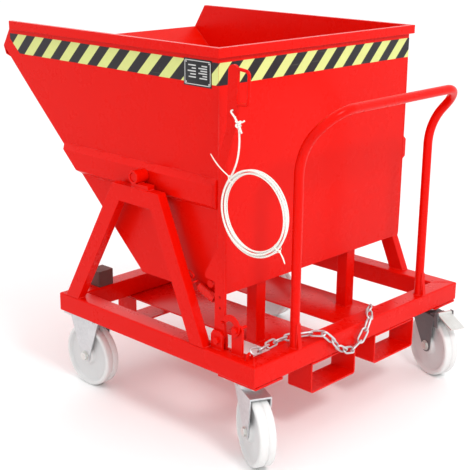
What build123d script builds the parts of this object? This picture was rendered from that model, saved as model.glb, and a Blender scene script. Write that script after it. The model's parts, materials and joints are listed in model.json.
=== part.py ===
from build123d import *
import math
import os

# Self-dumping tipping skip on castors, for a forklift. Millimetres.
# +X is the tipping direction (front), +Y is left, +Z is up, Z = 0 is the floor.

# ---------------------------------------------------------------- driving sizes
FRAME_LENGTH = 830.0
FRAME_WIDTH = 970.0
RAIL = 60.0
RAIL_WALL = 4.0
RAIL_TOP = 300.0
RAIL_BOTTOM = RAIL_TOP - RAIL
HALF_LENGTH = FRAME_LENGTH / 2
HALF_WIDTH = FRAME_WIDTH / 2

POCKET_WIDTH = 202.0
POCKET_HEIGHT = 92.0
POCKET_WALL = 5.0
POCKET_CENTRE = 147.0
POCKET_LOOP = 85.0

HOPPER_HALF_WIDTH = 425.0
HOPPER_REAR = -218.0
HOPPER_BOTTOM = 432.0
HOPPER_TOP = 1115.0
FLOOR_FRONT = 90.0
LIP_X = 738.0
SIDE_TOP_FRONT = 687.0
FLOOR_SLOPE = math.atan2(0.9296, 1.0)
SHEET = 3.0
FOLD_OUT = 12.0
FOLD_DOWN = 26.0

PIVOT_X = 52.0
PIVOT_Z = 736.0
PIVOT_PIN_RADIUS = 12.5
PIVOT_CLEARANCE = 0.05
BUSH_RADIUS = 19.0

AFRAME_OUTER = HALF_WIDTH
AFRAME_DEPTH = 30.0
AFRAME_WALL = 3.0
AFRAME_TOP = 704.0
AFRAME_TUBE = 50.0

POST = 40.0
POST_X = -185.0
POST_LEFT_Y = 230.0
POST_RIGHT_Y = -192.0

WHEEL_RADIUS = 100.0
WHEEL_WIDTH = 48.0
CASTOR_HEIGHT = RAIL_BOTTOM
CASTOR_Y = 425.0
FRONT_CASTOR_X = 335.0
REAR_CASTOR_X = -345.0
TRAIL = 50.0
SWIVEL_LEFT = -27.0
SWIVEL_RIGHT = -20.0
CASTOR_PLATE = (140.0, 110.0, 6.0)
BOLT_SPACING = (105.0, 80.0)
AXLE_RADIUS = 10.0
PEDAL_PIVOT = (-97.0, -17.8)
HUB_HALF = 27.0
CHEEK_INNER = 28.0
CHEEK_OUTER = 31.5

LEVER_INNER = 446.0
LEVER_OUTER = 454.0
LEVER_PIVOT = (-252.0, 326.0)
CATCH_PIN = (-207.0, 474.0)
SAFETY_PIVOT = (-320.0, 374.0)

BAR_RADIUS = 13.5
BAR_HALF_WIDTH = 300.0
BAR_X = -393.0
HANDLE_X = -500.0
HANDLE_Z = 969.0

ROPE_DIAMETER = 5.0
COIL_CENTRE = (-390.0, 468.0, 717.0)
COIL_RADIUS = 109.0
COIL_SECTION = 10.0

# middle of the footprint, rope left out, which becomes the origin
FOOTPRINT_MIDDLE = (112.1, 10.6)

LINK_WIRE = 6.0
LINK_LENGTH = 52.0
LINK_WIDTH = 25.0
LINK_PITCH = 39.0


# ---------------------------------------------------------------- helpers
def side_prism(points, y_low, y_high):
    """A profile given as (x, z) points, extruded from y_low to y_high."""
    plane = Plane(origin=(0, y_high, 0), x_dir=(1, 0, 0), z_dir=(0, -1, 0))
    face = make_face(Polyline(*points, close=True))
    return extrude(plane * face, amount=y_high - y_low)


def plan_prism(points, z_low, z_high):
    """A profile given as (x, y) points, extruded from z_low to z_high."""
    face = make_face(Polyline(*points, close=True))
    return extrude(Pos(0, 0, z_low) * face, amount=z_high - z_low)


def block(low, high):
    """A box between two corners."""
    size = [b - a for a, b in zip(low, high)]
    middle = [(a + b) / 2 for a, b in zip(low, high)]
    return Pos(*middle) * Box(*size)


def round_y(x, z, radius, y_low, y_high):
    """A cylinder along Y."""
    return Pos(x, (y_low + y_high) / 2, z) * Rot(90, 0, 0) * Cylinder(radius, y_high - y_low)


def hexagon_y(x, z, across, y_low, y_high):
    """A hexagonal head or nut along Y."""
    plane = Plane(origin=(x, y_high, z), x_dir=(1, 0, 0), z_dir=(0, -1, 0))
    return extrude(plane * RegularPolygon(across / 2, 6, major_radius=False), amount=y_high - y_low)


def slab(start, end, thickness, y_low, y_high):
    """A flat sheet seen edge-on from start to end in (x, z), its thickness on the left."""
    length = math.dist(start, end)
    nx, nz = -(end[1] - start[1]) / length, (end[0] - start[0]) / length
    shift = (nx * thickness, nz * thickness)
    points = [start, end, (end[0] + shift[0], end[1] + shift[1])]
    points.append((start[0] + shift[0], start[1] + shift[1]))
    return side_prism(points, y_low, y_high)


def mirrored(shape):
    """The same piece on the right-hand side."""
    return mirror(shape, about=Plane.XZ)


def save(name, shape):
    """Write one node, with the origin at the middle of the footprint on the floor."""
    shift = Pos(-FOOTPRINT_MIDDLE[0], -FOOTPRINT_MIDDLE[1], 0)
    solids = [shift * solid for solid in shape.solids()]
    export_step(solids[0] if len(solids) == 1 else Compound(children=solids), f"parts/{name}.step")


def group(shapes):
    """Separate solids kept in one node."""
    solids = []
    for shape in shapes:
        solids.extend(shape.solids())
    return Compound(children=solids)


# ---------------------------------------------------------------- base frame
def left_rail():
    """Longitudinal square tube with mitred ends."""
    def outline(inset):
        y_out, y_in = HALF_WIDTH - inset, HALF_WIDTH - RAIL + inset
        x_out = y_out - HALF_WIDTH + HALF_LENGTH
        x_in = y_in - HALF_WIDTH + HALF_LENGTH
        return [(-x_out, y_out), (x_out, y_out), (x_in, y_in), (-x_in, y_in)]
    outer = plan_prism(outline(0), RAIL_BOTTOM, RAIL_TOP)
    return outer - plan_prism(outline(RAIL_WALL), RAIL_BOTTOM + RAIL_WALL, RAIL_TOP - RAIL_WALL)


def front_cross_member():
    """Transverse square tube with mitred ends."""
    def outline(inset):
        x_out, x_in = HALF_LENGTH - inset, HALF_LENGTH - RAIL + inset
        y_out = x_out - HALF_LENGTH + HALF_WIDTH
        y_in = x_in - HALF_LENGTH + HALF_WIDTH
        return [(x_out, -y_out), (x_out, y_out), (x_in, y_in), (x_in, -y_in)]
    outer = plan_prism(outline(0), RAIL_BOTTOM, RAIL_TOP)
    return outer - plan_prism(outline(RAIL_WALL), RAIL_BOTTOM + RAIL_WALL, RAIL_TOP - RAIL_WALL)


def fork_pocket():
    """Plate under the cross-members with a closed loop at each end for one fork tine."""
    y_low, y_high = POCKET_CENTRE - POCKET_WIDTH / 2, POCKET_CENTRE + POCKET_WIDTH / 2
    z_low = RAIL_BOTTOM - POCKET_HEIGHT
    outer = block((-HALF_LENGTH, y_low, z_low), (HALF_LENGTH, y_high, RAIL_BOTTOM))
    inner = block(
        (-HALF_LENGTH - 1, y_low + POCKET_WALL, z_low + POCKET_WALL),
        (HALF_LENGTH + 1, y_high - POCKET_WALL, RAIL_BOTTOM - POCKET_WALL),
    )
    reach = HALF_LENGTH - POCKET_LOOP
    gap = block((-reach, y_low - 1, z_low - 1), (reach, y_high + 1, RAIL_BOTTOM - POCKET_WALL))
    return outer - inner - gap


def a_frame():
    """Two raked legs and a top beam of rectangular tube, with mitred joints."""
    foot_front, foot_rear = 383.0, -224.0
    top_front, top_rear = 149.0, -44.0
    drop = AFRAME_TOP - RAIL_TOP

    def outline(inset):
        lean_front = (foot_front - top_front) / drop
        lean_rear = (top_rear - foot_rear) / drop
        wide_front = inset * math.hypot(1, lean_front)
        wide_rear = inset * math.hypot(1, lean_rear)
        top = AFRAME_TOP - inset
        return [
            (foot_front - wide_front, RAIL_TOP),
            (top_front + lean_front * inset - wide_front, top),
            (top_rear - lean_rear * inset + wide_rear, top),
            (foot_rear + wide_rear, RAIL_TOP),
        ]
    y_low, y_high = AFRAME_OUTER - AFRAME_DEPTH, AFRAME_OUTER
    outside = side_prism(outline(0), y_low, y_high)
    opening = side_prism(outline(AFRAME_TUBE), y_low - 1, y_high + 1)
    core = side_prism(outline(AFRAME_WALL), y_low + AFRAME_WALL, y_high - AFRAME_WALL)
    core -= side_prism(outline(AFRAME_TUBE - AFRAME_WALL), y_low, y_high)
    return outside - opening - core


def pivot_pedestal():
    """Packing block between the A-frame and the bush."""
    return block(
        (PIVOT_X - 52, AFRAME_OUTER - AFRAME_DEPTH, AFRAME_TOP),
        (PIVOT_X + 18, AFRAME_OUTER - 4, PIVOT_Z - BUSH_RADIUS),
    )


def pivot_bush():
    """Tube that the hopper's pivot pin turns in."""
    y_low, y_high = 447.0, 491.0
    bush = round_y(PIVOT_X, PIVOT_Z, BUSH_RADIUS, y_low, y_high)
    bore = round_y(PIVOT_X, PIVOT_Z, PIVOT_PIN_RADIUS + PIVOT_CLEARANCE, y_low - 1, y_high + 1)
    return chamfer((bush - bore).edges().sort_by(Axis.Y)[-2:], 1.0)


def rear_post(y_middle):
    """Square tube post with a closed top, which the hopper rests on."""
    top = HOPPER_BOTTOM - 0.2
    outer = block(
        (POST_X - POST / 2, y_middle - POST / 2, RAIL_BOTTOM),
        (POST_X + POST / 2, y_middle + POST / 2, top),
    )
    inner = block(
        (POST_X - POST / 2 + 3, y_middle - POST / 2 + 3, RAIL_BOTTOM - 1),
        (POST_X + POST / 2 - 3, y_middle + POST / 2 - 3, top - 5),
    )
    return outer - inner


def stop_block():
    """Block on the front cross-member that the tipped hopper lands on."""
    block_shape = block((HALF_LENGTH - 57, 314, RAIL_TOP), (HALF_LENGTH - 3, 372, RAIL_TOP + 52))
    return fillet(block_shape.edges().filter_by(Axis.Z), 4.0)


# ---------------------------------------------------------------- latch, fixed pieces
def latch_bracket():
    """Two cheek plates on the rail, one each side of the lever."""
    x_low, x_high = LEVER_PIVOT[0] - 21, LEVER_PIVOT[0] + 23
    outline = [(x_low, RAIL_TOP), (x_low, 340), (x_low + 8, 354), (x_high - 8, 354)]
    outline += [(x_high, 340), (x_high, RAIL_TOP)]
    hole = round_y(*LEVER_PIVOT, 6.05, 430, 470)
    inner = side_prism(outline, 438, LEVER_INNER - 0.5) - hole
    outer = side_prism(outline, LEVER_OUTER + 0.5, 462) - hole
    return group([inner, outer])


def lever_pivot_bolt():
    """Bolt that the latch lever turns on, with its head and nut."""
    bolt = round_y(*LEVER_PIVOT, 6.0, 430, 462)
    return bolt + hexagon_y(*LEVER_PIVOT, 19, 462, 470) + hexagon_y(*LEVER_PIVOT, 19, 428, 438)


def safety_lug():
    """Upright plate that carries the safety catch."""
    outline = [(-340, RAIL_TOP), (-340, 376), (-330, 388), (-310, 388), (-300, 376), (-300, RAIL_TOP)]
    return side_prism(outline, 447, 454) - round_y(*SAFETY_PIVOT, 5.05, 440, 460)


def safety_bolt():
    """Long bolt that the safety catch turns on."""
    bolt = round_y(*SAFETY_PIVOT, 5.0, 418, 461)
    head = hexagon_y(*SAFETY_PIVOT, 17, 461, 467.5)
    return bolt + head + hexagon_y(*SAFETY_PIVOT, 17, 439, 447)


def spring_anchor():
    """Two chain links welded to the rear leg, which the spring hangs from."""
    links = []
    for x, z, turn in ((-136, 486, 62), (-149, 466, 118)):
        ring = chain_link(32, 19, 5.0)
        links.append(Pos(x, 448, z) * Rot(0, turn - 90, 0) * Rot(90 if turn < 90 else 0, 0, 0) * ring)
    return group(links)


def spring_body():
    """Outer shape of the closed-coil extension spring with its end hooks."""
    start, end = Vector(-150, 440, 461), Vector(-254, 441.5, 421)
    along = (end - start).normalized()
    plane = Plane(origin=start + along * 14, z_dir=along)
    coil = extrude(plane * Circle(13.0), amount=66)
    coil += extrude(Plane(origin=start, z_dir=along) * Circle(1.6), amount=(end - start).length)
    return coil


def chain_link(length, width, wire):
    """One oval link lying in the XY plane, its length along X."""
    path = SlotOverall(length - wire, width - wire).wire()
    start = path @ 0
    return sweep(Plane(origin=start, z_dir=path % 0) * Circle(wire / 2), path=path)


def chain_route():
    """Hand-laid route of the securing chain's middle line."""
    return [
        (-364, 443, 321), (-360, 408, 313), (-352, 368, 311), (-347, 328, 311), (-350, 285, 311),
        (-362, 250, 311), (-384, 222, 315), (-414, 206, 324), (-434, 190, 306), (-431, 163, 277),
        (-430, 130, 251), (-430, 92, 236), (-430, 55, 244), (-430, 32, 272), (-436, 12, 306),
        (-418, -10, 326), (-398, -34, 323), (-382, -56, 321),
    ]


def securing_chain():
    """Oval links spaced along the route, every other one turned a quarter."""
    points = [Vector(*p) for p in chain_route()]
    spans = list(zip(points, points[1:]))
    total = sum((b - a).length for a, b in spans)
    count = round(total / LINK_PITCH)

    def at(distance):
        for a, b in spans:
            if distance <= (b - a).length:
                return a + (b - a) * (distance / (b - a).length)
            distance -= (b - a).length
        return points[-1]
    links = []
    step = total / count
    for index in range(count):
        head, tail = at(index * step), at((index + 1) * step)
        along = (tail - head).normalized()
        lean = Vector(-0.7, 0, 0.72)
        across = (lean - along * lean.dot(along)).normalized()
        plane = Plane(origin=(head + tail) * 0.5, x_dir=along, z_dir=across)
        roll = 90 * (index % 2)
        links.append(plane * Rot(roll, 0, 0) * chain_link(LINK_LENGTH, LINK_WIDTH, LINK_WIRE))
    return group(links)


def chain_eyes():
    """Two welded eyes that the chain hangs between."""
    eyes = []
    for x, y, turn in ((-364, 450, 90), (-378, -64, 60)):
        arch = extrude(Plane.XZ * make_face(
            [CenterArc((0, 0), 13, 0, 180), Line((-13, 0), (-13, -8)), Line((-13, -8), (-7, -8)),
             Line((-7, -8), (-7, 0)), CenterArc((0, 0), 7, 0, 180), Line((7, 0), (7, -8)),
             Line((7, -8), (13, -8)), Line((13, -8), (13, 0))]), amount=3, both=True)
        eyes.append(Pos(x, y, RAIL_TOP + 8) * Rot(0, 0, turn) * arch)
    return group(eyes)


# ---------------------------------------------------------------- push bar
def push_bar():
    """One bent tube: two uprights, swept back into the cross handle."""
    bend_z = 850.0
    points = []
    for side in (1, -1):
        leg = [(BAR_X, side * BAR_HALF_WIDTH, RAIL_TOP), (BAR_X, side * BAR_HALF_WIDTH, bend_z)]
        leg.append((HANDLE_X, side * BAR_HALF_WIDTH, HANDLE_Z))
        points += leg if side > 0 else leg[::-1]
    path = FilletPolyline(*points, radius=[180, 86, 86, 180])
    tube = sweep(Plane(origin=points[0], z_dir=(0, 0, 1)) * Circle(BAR_RADIUS), path=path)
    bore = sweep(Plane(origin=points[0], z_dir=(0, 0, 1)) * Circle(BAR_RADIUS - 2.6), path=path)
    return tube - bore


def push_bar_gussets():
    """Triangular plates behind the feet of the push bar."""
    plates = []
    back = BAR_X - BAR_RADIUS
    outline = [(back + 1, RAIL_TOP), (back + 1, RAIL_TOP + 76), (-HALF_LENGTH, RAIL_TOP + 8)]
    outline.append((-HALF_LENGTH, RAIL_TOP))
    for side in (1, -1):
        plate = side_prism(outline, side * BAR_HALF_WIDTH - 7, side * BAR_HALF_WIDTH + 7)
        tube = Pos(BAR_X, side * BAR_HALF_WIDTH, RAIL_TOP + 50) * Cylinder(BAR_RADIUS, 120)
        plates.append(plate - tube)
    return group(plates)


# ---------------------------------------------------------------- castors
def wheel():
    """Solid wheel on the Y axis, with a grooved tread, dished faces and a hub."""
    half = WHEEL_WIDTH / 2
    hub = HUB_HALF
    profile = [
        (AXLE_RADIUS + 0.05, -hub), (26, -hub), (28, -hub + 3), (32, -16), (82, -16), (88, -half),
        (95, -half), (WHEEL_RADIUS, -half + 5), (WHEEL_RADIUS, -2.5), (WHEEL_RADIUS - 2.5, -1.2),
        (WHEEL_RADIUS - 2.5, 1.2), (WHEEL_RADIUS, 2.5), (WHEEL_RADIUS, half - 5), (95, half),
        (88, half), (82, 16), (32, 16), (28, hub - 3), (26, hub), (AXLE_RADIUS + 0.05, hub),
    ]
    face = make_face(Polyline(*profile, close=True))
    return revolve(face, axis=Axis.Y)


def axle():
    """Wheel axle with a hexagonal head and nut."""
    out = CHEEK_OUTER
    pin = round_y(0, 0, AXLE_RADIUS, -out, out)
    return pin + hexagon_y(0, 0, 24, out, out + 8) + hexagon_y(0, 0, 24, -out - 10, -out)


def fork_cheek(top, y_low, y_high):
    """Side plate of a castor fork: a trapezoid ending in a round at the axle."""
    radius = 21.0
    left, right, height = top
    outline = [(left, height), (right, height), (right, height - 10)]
    outline += [(radius - 1, 0), (-radius + 1, 0), (left, height - 10)]
    plate = side_prism(outline, y_low, y_high) + round_y(0, 0, radius, y_low, y_high)
    return plate - round_y(0, 0, AXLE_RADIUS, y_low - 1, y_high + 1)


def front_fork():
    """Fixed fork with its top plate, axle at the origin."""
    length, width, thick = CASTOR_PLATE
    top = CASTOR_HEIGHT - WHEEL_RADIUS
    web = top - thick
    fork = block((-length / 2, -width / 2, web), (length / 2, width / 2, top))
    for side in (1, -1):
        low, high = sorted((side * CHEEK_INNER, side * CHEEK_OUTER))
        fork += fork_cheek((-66, 66, web), low, high)
    return fork - bolt_holes(top)


def bolt_holes(top):
    """Four holes of the castor plate's bolt pattern."""
    length, width = BOLT_SPACING
    holes = Pos(-length / 2, -width / 2, top) * Cylinder(5.5, 30)
    for x, y in ((1, -1), (-1, 1), (1, 1)):
        holes += Pos(x * length / 2, y * width / 2, top) * Cylinder(5.5, 30)
    return holes


def swivel_plate():
    """Top plate of a swivel castor with its upper race and king pin, top at Z = 0."""
    length, width, thick = CASTOR_PLATE
    plate = block((-length / 2, -width / 2, -thick), (length / 2, width / 2, 0))
    plate += Pos(0, 0, -thick - 5) * Cylinder(38, 10)
    plate += Pos(0, 0, -21) * Cylinder(8, 30)
    plate += Pos(0, 0, -37.5) * Cylinder(13, 3)
    return plate - bolt_holes(0)


def swivel_fork():
    """Fork of a swivel castor, king pin on the Z axis, trailing towards -X, plate top at Z = 0."""
    drop = WHEEL_RADIUS - CASTOR_HEIGHT
    web_low, web_high = -36.0, -30.5
    fork = Pos(0, 0, (web_high - 16.3) / 2) * Cylinder(34, -16.3 - web_high)
    fork += block((-84, -CHEEK_OUTER, web_low), (36, CHEEK_OUTER, web_high))
    for side in (1, -1):
        low, high = sorted((side * CHEEK_INNER, side * CHEEK_OUTER))
        cheek = fork_cheek((-34, 86, web_high - drop), low, high)
        fork += Pos(-TRAIL, 0, drop) * cheek
    return fork - Cylinder(8.05, 200)


def castor_bolts():
    """Four bolt heads under each castor plate, with their nuts left inside the tube walls."""
    bolts = []
    thick = CASTOR_PLATE[2]
    for x in (FRONT_CASTOR_X, REAR_CASTOR_X):
        for side in (1, -1):
            for dx in (-1, 1):
                for dy in (-1, 1):
                    place = Pos(
                        x + dx * BOLT_SPACING[0] / 2, side * CASTOR_Y + dy * BOLT_SPACING[1] / 2,
                        RAIL_BOTTOM - thick,
                    )
                    head = extrude(RegularPolygon(8, 6, major_radius=False), amount=-6.4)
                    bolts.append(place * (head + Pos(0, 0, 3) * Cylinder(5, 6)))
    return group(bolts)


def brake_housing():
    """Guard over the wheel with two ears for the pedal's pin, in the fork's own frame."""
    out = CHEEK_OUTER
    housing = block((-104, -out, -62), (-84.2, out, -25)) - block((-130, -28, -90), (-80, 28, -34))
    housing += block((-84.2, -26, -30.3), (-58, 26, -25))
    for side in (1, -1):
        low, high = sorted((side * 27, side * out))
        housing += block((-104, low, -25), (-90, high, -11))
    return housing + round_y(*PEDAL_PIVOT, 3, -out, out)


def brake_pedal():
    """Foot plate of the brake, with its hinge barrel, in the fork's own frame."""
    x, z = PEDAL_PIVOT
    pedal = slab((x - 72, z - 30), (x - 4, z - 5), 4, -26, 26)
    pedal += round_y(x, z, 6.5, -26, 26)
    return pedal - round_y(x, z, 3.05, -30, 30)


# ---------------------------------------------------------------- hopper
def wall_point(x):
    """Height of the outer face of the sloped front wall at x."""
    return HOPPER_BOTTOM + (x - FLOOR_FRONT) * math.tan(FLOOR_SLOPE)


def hopper_side():
    """Left side panel with its top edge folded out and down."""
    outline = [
        (HOPPER_REAR, HOPPER_BOTTOM), (HOPPER_REAR, HOPPER_TOP), (SIDE_TOP_FRONT, HOPPER_TOP),
        (LIP_X, wall_point(LIP_X)), (FLOOR_FRONT, HOPPER_BOTTOM),
    ]
    outer = HOPPER_HALF_WIDTH
    panel = side_prism(outline, outer - SHEET, outer)
    rear = HOPPER_REAR - FOLD_OUT
    panel += block((rear, outer - SHEET, HOPPER_TOP - SHEET), (SIDE_TOP_FRONT, outer + FOLD_OUT, HOPPER_TOP))
    panel += block(
        (rear, outer + FOLD_OUT - SHEET, HOPPER_TOP - FOLD_DOWN),
        (SIDE_TOP_FRONT, outer + FOLD_OUT, HOPPER_TOP),
    )
    return panel - round_y(PIVOT_X, PIVOT_Z, PIVOT_PIN_RADIUS, 400, 450)


def hopper_rear():
    """Rear panel with its top edge folded out and down."""
    half = HOPPER_HALF_WIDTH - SHEET
    inner = HOPPER_REAR + SHEET
    panel = block((HOPPER_REAR, -half, HOPPER_BOTTOM), (inner, half, HOPPER_TOP))
    fold_half = HOPPER_HALF_WIDTH - SHEET
    edge = HOPPER_REAR - FOLD_OUT
    panel += block((edge, -fold_half, HOPPER_TOP - SHEET), (HOPPER_REAR, fold_half, HOPPER_TOP))
    lip_half = HOPPER_HALF_WIDTH + FOLD_OUT - SHEET
    lip = block((edge, -lip_half, HOPPER_TOP - FOLD_DOWN), (edge + SHEET, lip_half, HOPPER_TOP - SHEET))
    return panel + lip


def hopper_floor():
    """Bottom, sloped front wall and folded pouring lip, bent from one sheet."""
    half = HOPPER_HALF_WIDTH - SHEET
    inner_rear = HOPPER_REAR + SHEET
    lean = (-math.sin(FLOOR_SLOPE) * SHEET, math.cos(FLOOR_SLOPE) * SHEET)
    knee = FLOOR_FRONT - SHEET * math.tan(FLOOR_SLOPE / 2)
    lip_x = LIP_X - 1
    outline = [
        (inner_rear, HOPPER_BOTTOM), (FLOOR_FRONT, HOPPER_BOTTOM), (lip_x, wall_point(lip_x)),
        (lip_x + lean[0], wall_point(lip_x) + lean[1]), (knee, HOPPER_BOTTOM + SHEET),
        (inner_rear, HOPPER_BOTTOM + SHEET),
    ]
    sheet = side_prism(outline, -half, half)
    edge = (LIP_X + 1, wall_point(LIP_X) + 2)
    nose = (LIP_X - 11, wall_point(LIP_X) - 26)
    back = (LIP_X - 34, wall_point(LIP_X - 34) - 1)
    outer = HOPPER_HALF_WIDTH
    fold = slab(nose, edge, SHEET, -outer, outer) + slab(back, nose, SHEET, -outer, outer)
    cheeks = side_prism([back, nose, edge, (LIP_X - 4, wall_point(LIP_X - 4) - 1)], -half, half)
    fold &= side_prism(below_wall(), -outer, outer)
    return sheet + (fold + (cheeks & side_prism(below_wall(), -half, -half + SHEET)))


def below_wall():
    """The region in front of the sloped wall, as (x, z) points."""
    low, high = FLOOR_FRONT, LIP_X + 20
    return [(low, wall_point(low)), (high, wall_point(high)), (high + 200, wall_point(low))]


def stiffener():
    """Hat-section rib across the left side panel, closed at both ends."""
    face_low, face_high, base_low, base_high, proud = 695.0, 750.0, 681.0, 767.0, 20.0
    outer = HOPPER_HALF_WIDTH

    def hat(inset):
        return [
            (outer, base_low + inset), (outer, base_high - inset),
            (outer + proud - inset, face_high - inset * 0.6),
            (outer + proud - inset, face_low + inset * 0.6),
        ]

    def along(points, x_low, x_high):
        plane = Plane(origin=(x_low, 0, 0), x_dir=(0, 1, 0), z_dir=(1, 0, 0))
        return extrude(plane * make_face(Polyline(*points, close=True)), amount=x_high - x_low)
    rear = HOPPER_REAR + 4
    rib = along(hat(0), rear, 600) - along(hat(SHEET), rear + SHEET, 600)
    margin = 8.0
    cut = [(x + margin * -1, wall_point(x)) for x in (200.0, 600.0)]
    cut += [(900.0, wall_point(600.0)), (900.0, wall_point(200.0))]
    rib -= side_prism(cut, outer - 1, outer + proud + 1)
    cap = [(x - margin, wall_point(x)) for x in (300.0, 500.0)]
    cap += [(x - margin - 4, wall_point(x)) for x in (500.0, 300.0)]
    rib += along(hat(0), rear, 600) & side_prism(cap, outer - 1, outer + proud + 1)
    return rib - round_y(PIVOT_X, PIVOT_Z, PIVOT_PIN_RADIUS, 400, 450)


def pivot_pin():
    """Stub pin that the hopper turns on."""
    pin = round_y(PIVOT_X, PIVOT_Z, PIVOT_PIN_RADIUS, HOPPER_HALF_WIDTH - SHEET, 488)
    return chamfer(pin.edges().sort_by(Axis.Y)[-1:], 1.5)


def catch_pin():
    """Headed pin on the hopper's left side that the latch hook holds."""
    outer = HOPPER_HALF_WIDTH
    return round_y(*CATCH_PIN, 7, outer, 438) + round_y(*CATCH_PIN, 11, 438, 444)


def nameplate():
    """Plain plate under the rim of the left side."""
    outer = HOPPER_HALF_WIDTH
    plate = block((-193, outer, 1006), (-89, outer + 1.2, 1078))
    return fillet(plate.edges().filter_by(Axis.Y), 4.0)


def warning_tape():
    """Strips of warning tape on both sides and the rear."""
    low, high, thick = 1016.0, 1075.0, 0.5
    outer = HOPPER_HALF_WIDTH
    strips = []
    for side in (1, -1):
        for x_low, x_high in ((HOPPER_REAR + 0.6, -193.5), (-88.5, 640.0)) if side > 0 else ((-217.4, 640.0),):
            y_low, y_high = sorted((side * outer, side * (outer + thick)))
            strips.append(block((x_low, y_low, low), (x_high, y_high, high)))
    strips.append(block((HOPPER_REAR - thick, -outer, low), (HOPPER_REAR, outer, high)))
    return group(strips)


# ---------------------------------------------------------------- latch, moving pieces
def latch_lever():
    """Long flat lever with a ramped hook, welded hook block and a small stud."""
    x, z = LEVER_PIVOT
    outline = [
        (-236, 340), (-236, 490), (-201, 494), (-197, 504), (-246, 590), (-246, 835),
        (-275, 920), (-280, 1066), (-314, 1066), (-309, 924), (-273, 822), (-273, 340),
    ]
    bar = side_prism(outline, LEVER_INNER, LEVER_OUTER)
    bar += round_y(-297, 1066, 17, LEVER_INNER, LEVER_OUTER)
    bar += round_y(x, z, 18, LEVER_INNER, LEVER_OUTER)
    bar += side_prism([(-268, 326), (-236, 326), (-236, 345), (-273, 345)], LEVER_INNER, LEVER_OUTER)
    bar -= round_y(x, z, 6.05, 440, 460)
    bar -= round_y(-297, 967, 4.5, 440, 460)
    for hole_z in (450, 419):
        bar -= round_y(-255, hole_z, 4, 440, 460)
    hook = side_prism([(-237, 490), (-201, 494), (-203, 505), (-237, 513)], 436, LEVER_INNER)
    return bar + hook + round_y(-267, 382, 4, LEVER_OUTER, 464)


def release_handle():
    """D-shaped pull handle of round bar on the lever's rear edge."""
    points = [(-312, 450, 1073), (-349, 450, 1069), (-347, 450, 985), (-310, 450, 983)]
    path = FilletPolyline(*points, radius=[12, 12])
    start = Vector(*points[0])
    return sweep(Plane(origin=start, z_dir=Vector(*points[1]) - start) * Circle(4.5), path=path)


def safety_catch():
    """Curved hook plate beside the lever, which holds it open by its stud."""
    x, z = SAFETY_PIVOT
    centre_x, centre_z = -301.0, 380.0
    plate = round_y(centre_x, centre_z, 33, 456, 461) - round_y(centre_x, centre_z, 15, 450, 465)
    plate -= block((-300, 450, 330), (-260, 470, 389))
    plate -= block((-306, 450, 330), (-299, 470, 372))
    plate += round_y(x, z, 14, 456, 461)
    return plate - round_y(x, z, 5.05, 450, 465)


# ---------------------------------------------------------------- rope
def rope_route():
    """Hand-chosen points of the rope, from the lever's hole to its coil."""
    return [
        (-297, 454, 967), (-297, 464.5, 967), (-313, 467, 957), (-330, 466, 936),
        (-332, 464, 890), (-327, 465, 845), (-313, 468, 807),
    ]


def pull_rope():
    """Rope from the lever down to the coil: straight runs joined by tangent arcs."""
    points = [Vector(*p) for p in rope_route()]
    radii = []
    for before, here, after in zip(points, points[1:], points[2:]):
        turn = math.radians((here - before).get_angle(after - here))
        run = min((here - before).length, (after - here).length)
        radii.append(0.45 * run / math.tan(turn / 2))
    print("rope radii", [round(r, 1) for r in radii])
    path = FilletPolyline(*points, radius=radii)
    plane = Plane(origin=points[0], z_dir=points[1] - points[0])
    tube = sweep(plane * Circle(ROPE_DIAMETER / 2), path=path)
    section = math.pi * ROPE_DIAMETER ** 2 / 4
    print("rope tube", round(tube.volume), "section x length", round(section * path.length))
    return tube


def rope_coil():
    """Outer shape of the hank that the spare rope is wound into."""
    ring = Torus(COIL_RADIUS, COIL_SECTION)
    return Pos(*COIL_CENTRE) * Rot(90, 0, 0) * ring


def rope_knot():
    """Knot under the lever's hole."""
    return Pos(-328, 466, 938) * Sphere(10)


def cable_ties():
    """Two ties round the hank, each with a tail standing out."""
    ties = []
    for angle, tail_angle, tail in ((42.0, 37.0, 84.0), (-138.0, -122.0, 34.0)):
        turn = math.radians(angle)
        x = COIL_CENTRE[0] + COIL_RADIUS * math.cos(turn)
        z = COIL_CENTRE[2] + COIL_RADIUS * math.sin(turn)
        band = Cylinder(COIL_SECTION + 1.4, 4) - Cylinder(COIL_SECTION, 6)
        band = Pos(x, COIL_CENTRE[1], z) * Rot(0, -angle, 0) * band
        lean = math.radians(tail_angle)
        outward = (math.cos(lean), math.sin(lean))
        start = (x + outward[0] * (COIL_SECTION + 1), z + outward[1] * (COIL_SECTION + 1))
        end = (start[0] + outward[0] * tail, start[1] + outward[1] * tail)
        ties.append(band + slab(start, end, 2.4, COIL_CENTRE[1] - 1, COIL_CENTRE[1] + 1))
    return group(ties)


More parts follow.
